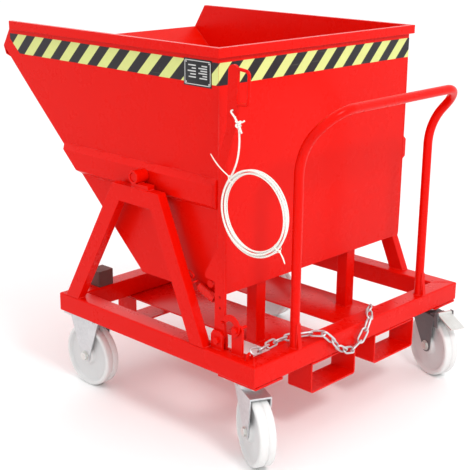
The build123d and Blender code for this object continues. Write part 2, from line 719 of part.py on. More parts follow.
# ---------------------------------------------------------------- build
def main():
    os.makedirs("parts", exist_ok=True)
    rail, cross, pocket, frame = left_rail(), front_cross_member(), fork_pocket(), a_frame()
    for name, shape in (
        ("rail", rail), ("fork_pocket", pocket), ("a_frame", frame), ("pivot_bush", pivot_bush()),
        ("stop_block", stop_block()), ("hopper_side", hopper_side()),
        ("hopper_stiffener", stiffener()), ("pivot_pin", pivot_pin()),
    ):
        save(f"{name}_left", shape)
        save(f"{name}_right", mirrored(shape))
    save("front_cross_member", cross)
    save("rear_cross_member", mirror(cross, about=Plane.YZ))
    save("pivot_pedestals", group([pivot_pedestal(), mirrored(pivot_pedestal())]))
    save("rear_post_left", rear_post(POST_LEFT_Y))
    save("rear_post_right", rear_post(POST_RIGHT_Y))

    for name, make in (
        ("latch_bracket", latch_bracket), ("lever_pivot_bolt", lever_pivot_bolt),
        ("safety_lug", safety_lug), ("safety_bolt", safety_bolt), ("spring_anchor", spring_anchor),
        ("latch_spring", spring_body), ("securing_chain", securing_chain),
        ("chain_eyes", chain_eyes), ("push_bar", push_bar), ("push_bar_gussets", push_bar_gussets),
        ("castor_bolts", castor_bolts), ("hopper_rear_panel", hopper_rear),
        ("hopper_floor", hopper_floor), ("catch_pin", catch_pin), ("nameplate", nameplate),
        ("warning_tape", warning_tape), ("latch_lever", latch_lever),
        ("release_handle", release_handle), ("safety_catch", safety_catch),
        ("pull_rope", pull_rope), ("rope_coil", rope_coil), ("rope_knot", rope_knot),
        ("cable_ties", cable_ties),
    ):
        save(name, make())

    axles = []
    for side, name in ((1, "left"), (-1, "right")):
        place = Pos(FRONT_CASTOR_X, side * CASTOR_Y, WHEEL_RADIUS)
        save(f"front_fork_{name}", place * front_fork())
        save(f"front_wheel_{name}", place * wheel())
        axles.append(place * axle())
    save("front_axles", group(axles))

    for side, name, turn in ((1, "left", SWIVEL_LEFT), (-1, "right", SWIVEL_RIGHT)):
        mount = Pos(REAR_CASTOR_X, side * CASTOR_Y, CASTOR_HEIGHT)
        turned = mount * Rot(0, 0, turn)
        hub = turned * Pos(-TRAIL, 0, WHEEL_RADIUS - CASTOR_HEIGHT)
        save(f"swivel_plate_{name}", mount * swivel_plate())
        save(f"rear_fork_{name}", turned * swivel_fork())
        save(f"rear_wheel_{name}", hub * wheel())
        save(f"rear_axle_{name}", hub * axle())
        if side < 0:
            save("brake_housing", turned * brake_housing())
            save("brake_pedal", turned * brake_pedal())


if __name__ == "__main__":
    main()
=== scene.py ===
"""Visual model of a castored tipping skip, laid over its CAD frame.

Everything is in metres in the shared frame: +X is the tipping direction, +Y is left,
+Z is up and Z = 0 is the floor.
"""

import json
import logging
import math
from dataclasses import dataclass, replace
from enum import Enum
from typing import Callable, Sequence

import bmesh
import bpy
from mathutils import Matrix, Vector

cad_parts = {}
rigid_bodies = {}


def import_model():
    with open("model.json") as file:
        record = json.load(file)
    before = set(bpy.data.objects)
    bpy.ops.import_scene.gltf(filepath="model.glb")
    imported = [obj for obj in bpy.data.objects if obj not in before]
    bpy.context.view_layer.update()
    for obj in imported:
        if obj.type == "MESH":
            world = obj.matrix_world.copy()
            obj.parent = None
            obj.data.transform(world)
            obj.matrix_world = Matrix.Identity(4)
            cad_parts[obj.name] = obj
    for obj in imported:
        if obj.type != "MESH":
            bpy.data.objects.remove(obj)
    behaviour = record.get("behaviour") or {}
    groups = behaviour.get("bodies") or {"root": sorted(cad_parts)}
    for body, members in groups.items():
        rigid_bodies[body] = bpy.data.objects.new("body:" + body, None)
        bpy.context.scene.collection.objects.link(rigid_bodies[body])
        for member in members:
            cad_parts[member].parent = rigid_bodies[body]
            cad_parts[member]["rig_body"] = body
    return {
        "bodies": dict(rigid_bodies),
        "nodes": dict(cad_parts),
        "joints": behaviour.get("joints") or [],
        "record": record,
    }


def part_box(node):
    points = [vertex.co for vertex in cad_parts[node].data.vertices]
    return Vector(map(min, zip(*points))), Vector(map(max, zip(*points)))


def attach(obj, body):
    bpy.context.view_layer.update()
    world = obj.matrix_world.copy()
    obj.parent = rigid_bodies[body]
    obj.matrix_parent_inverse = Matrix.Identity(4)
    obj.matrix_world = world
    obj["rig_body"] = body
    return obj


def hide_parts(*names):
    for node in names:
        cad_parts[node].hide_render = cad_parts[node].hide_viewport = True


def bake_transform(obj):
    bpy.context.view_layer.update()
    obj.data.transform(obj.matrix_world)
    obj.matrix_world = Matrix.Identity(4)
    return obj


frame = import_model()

logging.basicConfig(level=logging.INFO, format="%(levelname)s %(message)s")
LOG = logging.getLogger("skip")

BMesh = bmesh.types.BMesh
Material = bpy.types.Material
NodeTree = bpy.types.NodeTree
Outputs = bpy.types.NodeOutputs
Piece = bpy.types.Object
Socket = bpy.types.NodeSocket

MM = 0.001
RAIL_TOP = 300.0  # millimetres, as RAIL_BOTTOM
RAIL_BOTTOM = 240.0


class Slot(Enum):
    """Material slots of the record."""

    RED = "red_paint"
    GALVANISED = "galvanised"
    ZINC = "zinc_bolt"
    NYLON = "nylon"
    BUFFER = "buffer"
    DARK_STEEL_AND_SHADE = "dark_steel"
    PLATE = "plate_black"
    TAPE = "tape"
    ROPE = "rope"
    TIE = "tie"


class Run(Enum):
    """Which edges of a node are rounded."""

    ALL = "all"
    ALONG_X = "x"
    ALONG_Y = "y"
    ALONG_Z = "z"
    NOT_Y = "not y"


# ---------------------------------------------------------------- node groups
class NodeSketch:
    """A thin builder round one node tree."""

    def __init__(self, tree: NodeTree) -> None:
        self.tree = tree

    def add(self, kind: str, **settings: object) -> bpy.types.Node:
        """Adds a node.

        Args:
            kind: the node's type name.
            settings: properties set on the node.

        Returns:
            The new node.
        """
        node = self.tree.nodes.new(kind)
        for key, value in settings.items():
            setattr(node, key, value)
        return node

    def join(self, start: Socket, end: Socket) -> None:
        """Links two sockets."""
        self.tree.links.new(start, end)

    def feed(self, socket: Socket, value: object) -> None:
        """Links a socket, or sets its constant."""
        if isinstance(value, Socket):
            self.join(value, socket)
        else:
            socket.default_value = value

    def maths(self, operation: str, *values: object, clamp: bool = False) -> Socket:
        """A Math node on numbers or sockets."""
        node = self.add("ShaderNodeMath", operation=operation, use_clamp=clamp)
        for socket, value in zip(node.inputs, values):
            self.feed(socket, value)
        return node.outputs[0]

    def noise(self, vector: object, scale: object, detail: float = 4.0, rough: float = 0.55) -> Socket:
        """A noise texture's factor."""
        node = self.add("ShaderNodeTexNoise")
        self.feed(node.inputs["Vector"], vector)
        self.feed(node.inputs["Scale"], scale)
        node.inputs["Detail"].default_value = detail
        node.inputs["Roughness"].default_value = rough
        return node.outputs["Fac"]

    def remap(self, value: object, low: float, high: float, to_low: object = 0.0,
              to_high: object = 1.0) -> Socket:
        """A clamped Map Range node."""
        node = self.add("ShaderNodeMapRange", clamp=True)
        names = ("Value", "From Min", "From Max", "To Min", "To Max")
        for name, item in zip(names, (value, low, high, to_low, to_high)):
            self.feed(node.inputs[name], item)
        return node.outputs["Result"]

    def mix(self, factor: object, first: object, second: object) -> Socket:
        """A colour mix."""
        node = self.add("ShaderNodeMix", data_type="RGBA")
        for index, item in ((0, factor), (6, first), (7, second)):
            self.feed(node.inputs[index], item)
        return node.outputs[2]

    def stretch(self, vector: object, scale: tuple[float, float, float]) -> Socket:
        """A vector scaled per axis."""
        node = self.add("ShaderNodeVectorMath", operation="MULTIPLY")
        self.feed(node.inputs[0], vector)
        node.inputs[1].default_value = scale
        return node.outputs[0]


class Effects:
    """Shared surface effects, each one node group with named inputs."""

    def __init__(self) -> None:
        self.grain = self._group("grain", ("Scale",), "Mask", self._grain)
        self.edge = self._group("edge_wear", ("Radius", "Amount"), "Mask", self._edge)
        self.dust = self._group("dust", ("Amount",), "Mask", self._dust)
        self.peel = self._group("orange_peel", ("Scale",), "Height", self._peel)
        self.scratch = self._group("scratches", ("Scale", "Amount"), "Mask", self._scratch)

    @staticmethod
    def _group(name: str, numbers: Sequence[str], output: str, fill: Callable) -> NodeTree:
        tree = bpy.data.node_groups.new(name, "ShaderNodeTree")
        tree.interface.new_socket(name="Vector", in_out="INPUT", socket_type="NodeSocketVector")
        for label in numbers:
            tree.interface.new_socket(name=label, in_out="INPUT", socket_type="NodeSocketFloat")
        tree.interface.new_socket(name=output, in_out="OUTPUT", socket_type="NodeSocketFloat")
        sketch = NodeSketch(tree)
        source = sketch.add("NodeGroupInput")
        sink = sketch.add("NodeGroupOutput")
        sketch.join(fill(sketch, source.outputs), sink.inputs[output])
        return tree

    @staticmethod
    def _grain(s: NodeSketch, i: Outputs) -> Socket:
        broad = s.noise(i["Vector"], i["Scale"], 3.0)
        fine = s.noise(i["Vector"], s.maths("MULTIPLY", i["Scale"], 7.0), 5.0, 0.65)
        both = s.maths("ADD", s.maths("MULTIPLY", broad, 0.65), s.maths("MULTIPLY", fine, 0.35))
        return s.remap(both, 0.34, 0.66)

    @staticmethod
    def _edge(s: NodeSketch, i: Outputs) -> Socket:
        bevel = s.add("ShaderNodeBevel", samples=4)
        s.join(i["Radius"], bevel.inputs["Radius"])
        normal = s.add("ShaderNodeNewGeometry").outputs["Normal"]
        dot = s.add("ShaderNodeVectorMath", operation="DOT_PRODUCT")
        s.join(bevel.outputs[0], dot.inputs[0])
        s.join(normal, dot.inputs[1])
        turned = s.remap(s.maths("SUBTRACT", 1.0, dot.outputs["Value"]), 0.015, 0.12)
        patches = s.remap(s.noise(i["Vector"], 55.0, 6.0, 0.7), 0.5, 0.64)
        return s.maths("MULTIPLY", s.maths("MULTIPLY", turned, patches), i["Amount"], clamp=True)

    @staticmethod
    def _dust(s: NodeSketch, i: Outputs) -> Socket:
        split = s.add("ShaderNodeSeparateXYZ")
        s.join(s.add("ShaderNodeNewGeometry").outputs["Normal"], split.inputs[0])
        facing = s.remap(split.outputs["Z"], 0.2, 1.0, 0.15, 1.0)
        clouds = s.remap(s.noise(i["Vector"], 9.0, 6.0, 0.62), 0.38, 0.75)
        return s.maths("MULTIPLY", s.maths("MULTIPLY", facing, clouds), i["Amount"], clamp=True)

    @staticmethod
    def _peel(s: NodeSketch, i: Outputs) -> Socket:
        cells = s.add("ShaderNodeTexVoronoi", feature="SMOOTH_F1")
        s.join(i["Vector"], cells.inputs["Vector"])
        s.join(i["Scale"], cells.inputs["Scale"])
        broad = s.noise(i["Vector"], s.maths("MULTIPLY", i["Scale"], 0.35), 2.0)
        return s.maths("ADD", cells.outputs["Distance"], broad)

    @staticmethod
    def _scratch(s: NodeSketch, i: Outputs) -> Socket:
        masks = []
        for scale in ((1.0, 0.06, 0.9), (0.05, 1.0, 0.85)):
            lines = s.noise(s.stretch(i["Vector"], scale), i["Scale"], 3.0, 0.8)
            masks.append(s.remap(lines, 0.655, 0.69))
        both = s.maths("MAXIMUM", *masks)
        return s.maths("MULTIPLY", both, i["Amount"], clamp=True)

    def use(self, sketch: NodeSketch, tree: NodeTree, **values: object) -> Socket:
        """Places one group.

        Args:
            sketch: the tree it goes in.
            tree: the group.
            values: its inputs by name.

        Returns:
            The group's output.
        """
        node = sketch.add("ShaderNodeGroup", node_tree=tree)
        for name, value in values.items():
            sketch.feed(node.inputs[name], value)
        return node.outputs[0]


# ---------------------------------------------------------------- finishes
@dataclass(frozen=True)
class Finish:
    """A surface finish that turns into one procedural material."""

    name: str
    slot: Slot
    colour: tuple[float, float, float]
    second: tuple[float, float, float]
    worn: tuple[float, float, float] = (0.2, 0.17, 0.15)
    roughness: float = 0.35
    metallic: float = 0.0
    coat: float = 0.0
    grain_scale: float = 6.0
    grain_share: float = 0.5
    wear: float = 0.0
    wear_radius: float = 0.0016
    dust: float = 0.2
    scratches: float = 0.2
    peel_scale: float = 420.0
    peel: float = 0.06
    specular: float = 0.5

    def base(self, s: NodeSketch, vector: Socket, fx: Effects) -> Socket:
        """The clean base colour, before wear and dust."""
        mask = fx.use(s, fx.grain, Vector=vector, Scale=self.grain_scale)
        return s.mix(s.maths("MULTIPLY", mask, self.grain_share), (*self.colour, 1), (*self.second, 1))

    def height(self, s: NodeSketch, vector: Socket, fx: Effects) -> Socket:
        """The bump height."""
        return fx.use(s, fx.peel, Vector=vector, Scale=self.peel_scale)

    def coordinates(self, s: NodeSketch) -> Socket:
        """The texture space."""
        return s.add("ShaderNodeTexCoord").outputs["Object"]

    def make(self, fx: Effects) -> Material:
        """Builds the material.

        Args:
            fx: the shared effects.

        Returns:
            The new material.
        """
        material = bpy.data.materials.new(self.name)
        material.use_nodes = True
        material.node_tree.nodes.clear()
        s = NodeSketch(material.node_tree)
        shader = s.add("ShaderNodeBsdfPrincipled")
        s.join(shader.outputs[0], s.add("ShaderNodeOutputMaterial").inputs["Surface"])
        vector = self.coordinates(s)
        colour = self.base(s, vector, fx)
        dust = fx.use(s, fx.dust, Vector=vector, Amount=self.dust)
        lines = fx.use(s, fx.scratch, Vector=vector, Scale=70.0, Amount=self.scratches)
        metal: object = self.metallic
        if self.wear:
            edge = fx.use(s, fx.edge, Vector=vector, Radius=self.wear_radius, Amount=self.wear)
            colour = s.mix(edge, colour, (*self.worn, 1))
            metal = s.maths("MAXIMUM", s.maths("MULTIPLY", edge, 0.6), self.metallic)
        pale = tuple(min(1.0, c * 0.6 + 0.16) for c in self.colour)
        colour = s.mix(s.maths("MULTIPLY", lines, 0.35), colour, (*pale, 1))
        colour = s.mix(dust, colour, (0.5, 0.47, 0.43, 1))
        rough = s.maths("ADD", s.maths("MULTIPLY", s.maths("MAXIMUM", dust, lines), 0.3), self.roughness)
        vary = fx.use(s, fx.grain, Vector=vector, Scale=self.grain_scale * 2.3)
        rough = s.maths("ADD", rough, s.maths("MULTIPLY", vary, 0.08), clamp=True)
        s.join(colour, shader.inputs["Base Color"])
        s.join(rough, shader.inputs["Roughness"])
        s.feed(shader.inputs["Metallic"], metal)
        shader.inputs["Coat Weight"].default_value = self.coat
        shader.inputs["Coat Roughness"].default_value = 0.12
        shader.inputs["Specular IOR Level"].default_value = self.specular
        bump = s.add("ShaderNodeBump")
        bump.inputs["Strength"].default_value = self.peel
        bump.inputs["Distance"].default_value = 0.0006
        s.join(self.height(s, vector, fx), bump.inputs["Height"])
        s.join(bump.outputs[0], shader.inputs["Normal"])
        return material


@dataclass(frozen=True)
class SpangleFinish(Finish):
    """Zinc coating with its crystal pattern."""

    def base(self, s: NodeSketch, vector: Socket, fx: Effects) -> Socket:
        cells = s.add("ShaderNodeTexVoronoi", feature="F1")
        s.join(vector, cells.inputs["Vector"])
        cells.inputs["Scale"].default_value = 130.0
        split = s.add("ShaderNodeSeparateColor")
        s.join(cells.outputs["Color"], split.inputs[0])
        mask = fx.use(s, fx.grain, Vector=vector, Scale=self.grain_scale)
        both = s.maths("ADD", s.maths("MULTIPLY", split.outputs[0], 0.45), s.maths("MULTIPLY", mask, 0.55))
        return s.mix(s.maths("MULTIPLY", both, self.grain_share), (*self.colour, 1), (*self.second, 1))


@dataclass(frozen=True)
class StripeFinish(Finish):
    """Diagonal two-colour tape."""

    pitch: float = 0.088

    def base(self, s: NodeSketch, vector: Socket, fx: Effects) -> Socket:
        split = s.add("ShaderNodeSeparateXYZ")
        s.join(vector, split.inputs[0])
        total = s.maths("ADD", s.maths("ADD", split.outputs[0], split.outputs[1]), split.outputs[2])
        phase = s.maths("FRACT", s.maths("DIVIDE", s.maths("ADD", total, 10.0), self.pitch))
        edge = s.remap(s.maths("ABSOLUTE", s.maths("SUBTRACT", phase, 0.5)), 0.245, 0.255)
        mask = fx.use(s, fx.grain, Vector=vector, Scale=self.grain_scale)
        faded = (*(c * 0.82 for c in self.colour), 1)
        pale = s.mix(s.maths("MULTIPLY", mask, 0.4), (*self.colour, 1), faded)
        dark = s.mix(s.maths("MULTIPLY", mask, 0.5), (*self.second, 1), (0.018, 0.014, 0.02, 1))
        return s.mix(edge, pale, dark)


@dataclass(frozen=True)
class TreadFinish(Finish):
    """Wheel plastic with dirt marks towards the tread, which is painted lighter than the sides as painted
    light; the hub takes a weaker share of both.
    """

    def base(self, s: NodeSketch, vector: Socket, fx: Effects) -> Socket:
        clean = super().base(s, vector, fx)
        rim = s.add("ShaderNodeAttribute", attribute_name="tread").outputs["Fac"]
        marks = s.remap(s.noise(vector, 60.0, 7.0, 0.7), 0.42, 0.66)
        share = s.maths("MULTIPLY", s.maths("MULTIPLY", rim, marks), 0.3)
        marked = s.mix(share, clean, (0.4, 0.38, 0.36, 1))
        # painted light: the tread is mixed towards a lighter grey than the sides
        return s.mix(s.maths("MULTIPLY", rim, 0.7), marked, (0.74, 0.74, 0.73, 1))


@dataclass(frozen=True)
class BraidFinish(Finish):
    """Braided cord, its pattern laid along the cord's own length."""

    plaits: float = 8.0
    lay: float = 240.0

    def coordinates(self, s: NodeSketch) -> Socket:
        return s.add("ShaderNodeTexCoord").outputs["UV"]

    def weave(self, s: NodeSketch, vector: Socket) -> Socket:
        """Crossed helices, from 0 to 1."""
        split = s.add("ShaderNodeSeparateXYZ")
        s.join(vector, split.inputs[0])
        run = s.maths("MULTIPLY", split.outputs[0], self.lay * math.tau)
        turn = s.maths("MULTIPLY", split.outputs[1], self.plaits * math.pi)
        waves = [s.maths("SINE", s.maths(sign, run, turn)) for sign in ("ADD", "SUBTRACT")]
        return s.remap(s.maths("MAXIMUM", *waves), -0.2, 1.0)

    def base(self, s: NodeSketch, vector: Socket, fx: Effects) -> Socket:
        weave = self.weave(s, vector)
        mask = fx.use(s, fx.grain, Vector=vector, Scale=self.grain_scale)
        # the braid is painted darker in its grooves, where the weave is low, as painted shade; the grain mix
        # below adds random darker tone
        clean = s.mix(weave, (*self.second, 1), (*self.colour, 1))
        return s.mix(s.maths("MULTIPLY", mask, 0.25), clean, (*self.second, 1))

    def height(self, s: NodeSketch, vector: Socket, fx: Effects) -> Socket:
        return self.weave(s, vector)


class Finishes:
    """Every finish of the skip."""

    PAINT = Finish("red_powder_coat", Slot.RED, (0.68, 0.003, 0.0), (0.62, 0.002, 0.0), roughness=0.24,
                   wear=0.25, dust=0.004, scratches=0.06, grain_scale=3.0, grain_share=0.4,
                   peel=0.04, specular=0.1)
    PAINT_INSIDE = Finish("red_powder_coat_inside", Slot.RED, (0.74, 0.005, 0.0), (0.62, 0.006, 0.001),
                          roughness=0.3, wear=0.4, dust=0.03, scratches=0.3, grain_scale=4.0, specular=0.14)
    GALVANISED = SpangleFinish("galvanised_steel", Slot.GALVANISED, (0.66, 0.67, 0.68), (0.42, 0.43, 0.45),
                               roughness=0.36, metallic=0.85, wear=0.0, dust=0.12, scratches=0.3, peel=0.12,
                               peel_scale=300.0, grain_scale=14.0)
    ZINC = Finish("zinc_fastener", Slot.ZINC, (0.72, 0.72, 0.7), (0.5, 0.49, 0.45), roughness=0.28,
                  metallic=0.9, dust=0.08, scratches=0.3, grain_scale=30.0, peel=0.08)
    SPRING = Finish("painted_spring", Slot.RED, (0.76, 0.005, 0.001), (0.6, 0.006, 0.001),
                    roughness=0.25, dust=0.01, scratches=0.1, grain_scale=60.0, peel=0.04, specular=0.4)
    # the grey base is painted shade on the sides of the white wheels; TreadFinish paints the tread lighter
    NYLON = TreadFinish("white_polyamide", Slot.NYLON, (0.60, 0.60, 0.60), (0.52, 0.52, 0.52), roughness=0.38,
                        dust=0.03, scratches=0.2, grain_scale=9.0, peel=0.05, grain_share=0.35)
    BUFFER = Finish("buffer_block", Slot.BUFFER, (0.13, 0.05, 0.045), (0.07, 0.03, 0.026), roughness=0.7,
                    dust=0.3, scratches=0.2, grain_scale=35.0, peel=0.5, peel_scale=160.0, specular=0.3)
    # used on the brake housing, and on the right rear fork as painted shade
    DARK_STEEL_AND_SHADE = Finish("dark_steel", Slot.DARK_STEEL_AND_SHADE, (0.09, 0.09, 0.095), (0.15, 0.15, 0.155), roughness=0.4, wear=0.4,
                  worn=(0.4, 0.4, 0.4), dust=0.08, scratches=0.3, grain_scale=12.0)
    PLATE = Finish("plate_black", Slot.PLATE, (0.006, 0.006, 0.008), (0.014, 0.014, 0.016), roughness=0.3,
                   dust=0.02, scratches=0.15, grain_scale=20.0, peel=0.03, specular=0.3)
    SILVER = Finish("plate_silver", Slot.PLATE, (0.62, 0.62, 0.61), (0.45, 0.45, 0.45), roughness=0.3,
                    metallic=0.6, dust=0.05, scratches=0.3, grain_scale=40.0, peel=0.03)
    TAPE = StripeFinish("warning_stripes", Slot.TAPE, (0.62, 0.66, 0.22), (0.006, 0.004, 0.006),
                        roughness=0.3, dust=0.02, scratches=0.15, grain_scale=14.0, peel=0.03, specular=0.3)
    ROPE = BraidFinish("braided_cord", Slot.ROPE, (0.93, 0.92, 0.88), (0.66, 0.63, 0.57), roughness=0.8,
                       dust=0.02, scratches=0.0, grain_scale=60.0, peel=0.8, specular=0.2)
    KNOT = replace(ROPE, name="braided_knot", lay=9.0)
    TIE = Finish("nylon_tie", Slot.TIE, (0.82, 0.8, 0.72), (0.68, 0.65, 0.56), roughness=0.4, dust=0.05,
                 scratches=0.15, grain_scale=70.0, peel=0.1, peel_scale=900.0)
    WELD = Finish("painted_weld", Slot.RED, (0.72, 0.004, 0.0), (0.56, 0.003, 0.0), roughness=0.28,
                  dust=0.004, scratches=0.04, grain_scale=40.0, peel=0.4, peel_scale=260.0, specular=0.25)


# ---------------------------------------------------------------- workshop
class Workshop:
    """Makes finished pieces and ties them to the CAD frame."""

    def __init__(self, loaded: dict) -> None:
        self.loaded = loaded
        self.fx = Effects()
        self.materials: dict[str, Material] = {}
        left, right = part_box("rail_left"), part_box("rail_right")
        self.origin = Vector(((left[0].x + left[1].x) / 2, (right[0].y + left[1].y) / 2, 0.0))

    def at(self, x: float, y: float, z: float) -> Vector:
        """A point given in millimetres from the middle of the base frame."""
        return self.origin + Vector((x, y, z)) * MM

    def middle(self, node: str) -> Vector:
        """The middle of a node's box."""
        low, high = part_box(node)
        return (low + high) / 2

    def material(self, finish: Finish) -> Material:
        """The material of a finish, built once."""
        if finish.name not in self.materials:
            self.materials[finish.name] = finish.make(self.fx)
        return self.materials[finish.name]

    def adopt(self, node: str, finish: Finish) -> Piece:
        """Keeps a CAD node as it is, with a better material."""
        obj = self.loaded["nodes"][node]
        obj.data.materials.clear()
        obj.data.materials.append(self.material(finish))
        return obj

    def finish(self, bm: BMesh, name: str, body: str, finish: Finish,
               nodes: Sequence[str] = (), smooth: float = 32.0) -> Piece:
        """Turns a bmesh into a piece that rides a body.

        Args:
            bm: the mesh, which is freed.
            name: the piece's name.
            body: the CAD body it rides.
            finish: its surface finish.
            nodes: CAD nodes that it stands for.
            smooth: faces meeting at a smaller angle than this, in degrees, shade smoothly.

        Returns:
            The new object.
        """
        mesh = bpy.data.meshes.new(name)
        bm.to_mesh(mesh)
        bm.free()
        mesh.polygons.foreach_set("use_smooth", [True] * len(mesh.polygons))
        mesh.set_sharp_from_angle(angle=math.radians(smooth))
        obj = bpy.data.objects.new(name, mesh)
        bpy.context.scene.collection.objects.link(obj)
        return self.dress(obj, body, finish, nodes)

    def dress(self, obj: Piece, body: str, finish: Finish, nodes: Sequence[str] = ()) -> Piece:
        """Gives an object its material, body and the nodes it replaces."""
        obj.data.materials.append(self.material(finish))
        if body:
            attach(obj, body)
        if nodes:
            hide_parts(*nodes)
        return obj

    def soften(self, node: str, finish: Finish, width: float, segments: int = 2, run: Run = Run.ALL,
               angle: float = 35.0) -> Piece:
        """Replaces a CAD node with the same shape with rounded edges.

        Args:
            node: the CAD node.
            finish: its finish.
            width: size of the rounding in millimetres.
            segments: steps round each edge.
            run: which edges are rounded.
            angle: the least angle in degrees between two faces whose edge is rounded.

        Returns:
            The new object.
        """
        source = self.loaded["nodes"][node]
        bm = bmesh.new()
        bm.from_mesh(source.data)
        bmesh.ops.remove_doubles(bm, verts=bm.verts, dist=2e-6)
        bmesh.ops.dissolve_limit(bm, angle_limit=math.radians(0.8), verts=bm.verts, edges=bm.edges)
        edges = [e for e in bm.edges if self._sharp(e, math.radians(angle)) and self._runs(e, run)]
        round_off(bm, edges, width * MM, segments)
        obj = self.finish(bm, f"{node}_shape", source["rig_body"], finish, (node,))
        obj.modifiers.new("even_normals", "WEIGHTED_NORMAL").keep_sharp = True
        return obj

    @staticmethod
    def _sharp(edge: bmesh.types.BMEdge, least: float) -> bool:
        return len(edge.link_faces) == 2 and edge.calc_face_angle(0.0) > least

    @staticmethod
    def _runs(edge: bmesh.types.BMEdge, run: Run) -> bool:
        if run is Run.ALL:
            return True
        along = (edge.verts[1].co - edge.verts[0].co).normalized()
        if run is Run.NOT_Y:
            return abs(along.y) < 0.9
        return abs(along["xyz".index(run.value)]) > 0.995


# ---------------------------------------------------------------- mesh helpers
def round_off(bm: BMesh, edges: Sequence[bmesh.types.BMEdge], width: float, segments: int) -> None:
    """Bevels some edges.

    Args:
        bm: the mesh.
        edges: the edges.
        width: size of the rounding in metres.
        segments: steps across it.
    """
    bmesh.ops.bevel(bm, geom=edges, offset=width, offset_type="OFFSET", segments=segments, profile=0.5,
                    affect="EDGES", clamp_overlap=True, material=-1)


def circle(centre: Vector, radius: float, count: int) -> list[Vector]:
    """Points round a level circle."""
    turns = [math.tau * i / count for i in range(count)]
    return [centre + Vector((math.cos(turn), math.sin(turn), 0)) * radius for turn in turns]


def link_rings(bm: BMesh, rings: Sequence[list[bmesh.types.BMVert]]) -> None:
    """Faces between each ring of corners and the next."""
    for one, two in zip(rings, rings[1:]):
        for k in range(len(one)):
            after = (k + 1) % len(one)
            bm.faces.new((one[k], one[after], two[after], two[k]))


def basis(along: Vector, hint: Vector) -> Matrix:
    """Columns (along, side, up) made from a direction and a hint for up."""
    x = along.normalized()
    z = (hint - x * hint.dot(x)).normalized()
    y = z.cross(x)
    return Matrix((x, y, z)).transposed()


def tube(bm: BMesh, path: Sequence[Vector], radii: Sequence[float], sides: int = 12,
         closed: bool = False) -> None:
    """Sweeps a ring along a path.

    Args:
        bm: the mesh to add to.
        path: the centre line.
        radii: the radius at each point of it.
        sides: corners of the ring.
        closed: whether the path closes on itself.
    """
    count = len(path)
    rings: list[list[bmesh.types.BMVert]] = []
    side = Vector((0, 0, 1))
    for index, point in enumerate(path):
        ahead = path[(index + 1) % count] if closed or index + 1 < count else point
        behind = path[index - 1] if closed or index else point
        along = (ahead - behind).normalized()
        if abs(side.dot(along)) > 0.95:
            side = Vector((1, 0, 0)) if abs(along.x) < 0.8 else Vector((0, 1, 0))
        side = (side - along * side.dot(along)).normalized()
        up = along.cross(side)
        ring = []
        for step in range(sides):
            turn = math.tau * step / sides
            ring.append(bm.verts.new(point + (side * math.cos(turn) + up * math.sin(turn)) * radii[index]))
        rings.append(ring)
    pairs = list(zip(rings, rings[1:])) + ([(rings[-1], rings[0])] if closed else [])
    for one, two in pairs:
        shift = 0
        if closed and one is rings[-1]:
            shift = min(range(sides), key=lambda k: (two[k].co - one[0].co).length)
        for step in range(sides):
            nxt = (step + 1) % sides
            bm.faces.new((one[step], one[nxt], two[(nxt + shift) % sides], two[(step + shift) % sides]))
    if not closed:
        bm.faces.new(rings[0][::-1])
        bm.faces.new(rings[-1])


def bead(bm: BMesh, start: Vector, end: Vector, radius: float, pitch: float = 0.0034) -> None:
    """A rippled weld bead between two points."""
    length = (end - start).length
    count = max(4, int(length / (pitch / 3)))
    path = [start.lerp(end, i / count) for i in range(count + 1)]
    radii = []
    for i in range(count + 1):
        fade = min(1.0, 4 * min(i, count - i) / count + 0.35)
        radii.append(radius * fade * (0.9 + 0.14 * math.sin(i * math.tau / 3) + 0.05 * math.sin(i * 0.71)))
    tube(bm, path, radii, 8)


def ring_bead(bm: BMesh, centre: Vector, radius: float, thick: float) -> None:
    """A closed weld bead round a vertical tube."""
    path = circle(centre, radius, 60)
    radii = [thick * (1 + 0.15 * math.sin(i * math.tau / 3)) for i in range(len(path))]
    tube(bm, path, radii, 8, closed=True)


def plate(bm: BMesh, low: Vector, high: Vector, width: float = 0.0) -> None:
    """A box between two corners with rounded edges."""
    size, middle = high - low, (low + high) / 2
    place = Matrix.Translation(middle) @ Matrix.Diagonal((*size, 1))
    made = bmesh.ops.create_cube(bm, size=1.0, matrix=place)
    if width:
        round_off(bm, list({e for v in made["verts"] for e in v.link_edges}), width, 2)


def washer(bm: BMesh, centre: Vector, axis: Vector, outer: float, inner: float, thick: float) -> None:
    """A flat ring with softened corners, spun round an axis."""
    turn = axis.normalized().to_track_quat("Z", "Y").to_matrix().to_4x4()
    place = Matrix.Translation(centre) @ turn
    edge = thick * 0.3
    half = thick / 2
    profile = [(inner, -half), (outer - edge, -half), (outer, edge - half), (outer, half - edge),
               (outer - edge, half), (inner, half)]
    spin_profile(bm, profile, place, 36)


def spin_profile(bm: BMesh, profile: Sequence[tuple[float, float]], place: Matrix, steps: int) -> None:
    """Spins a closed (radius, height) profile round the local Z axis."""
    verts = [bm.verts.new(place @ Vector((r, 0, h))) for r, h in profile]
    edges = [bm.edges.new((a, b)) for a, b in zip(verts, verts[1:] + verts[:1])]
    bmesh.ops.spin(bm, geom=verts + edges, cent=place.to_translation(), axis=place.to_3x3().col[2],
                   angle=math.tau, steps=steps, use_merge=True, use_duplicate=False)
    bmesh.ops.recalc_face_normals(bm, faces=bm.faces)


# ---------------------------------------------------------------- assemblies
class Assembly:
    """One sub-assembly of the skip."""

    def __init__(self, shop: Workshop) -> None:
        self.shop = shop

    def build(self) -> None:
        """Makes every piece of the sub-assembly."""
        raise NotImplementedError


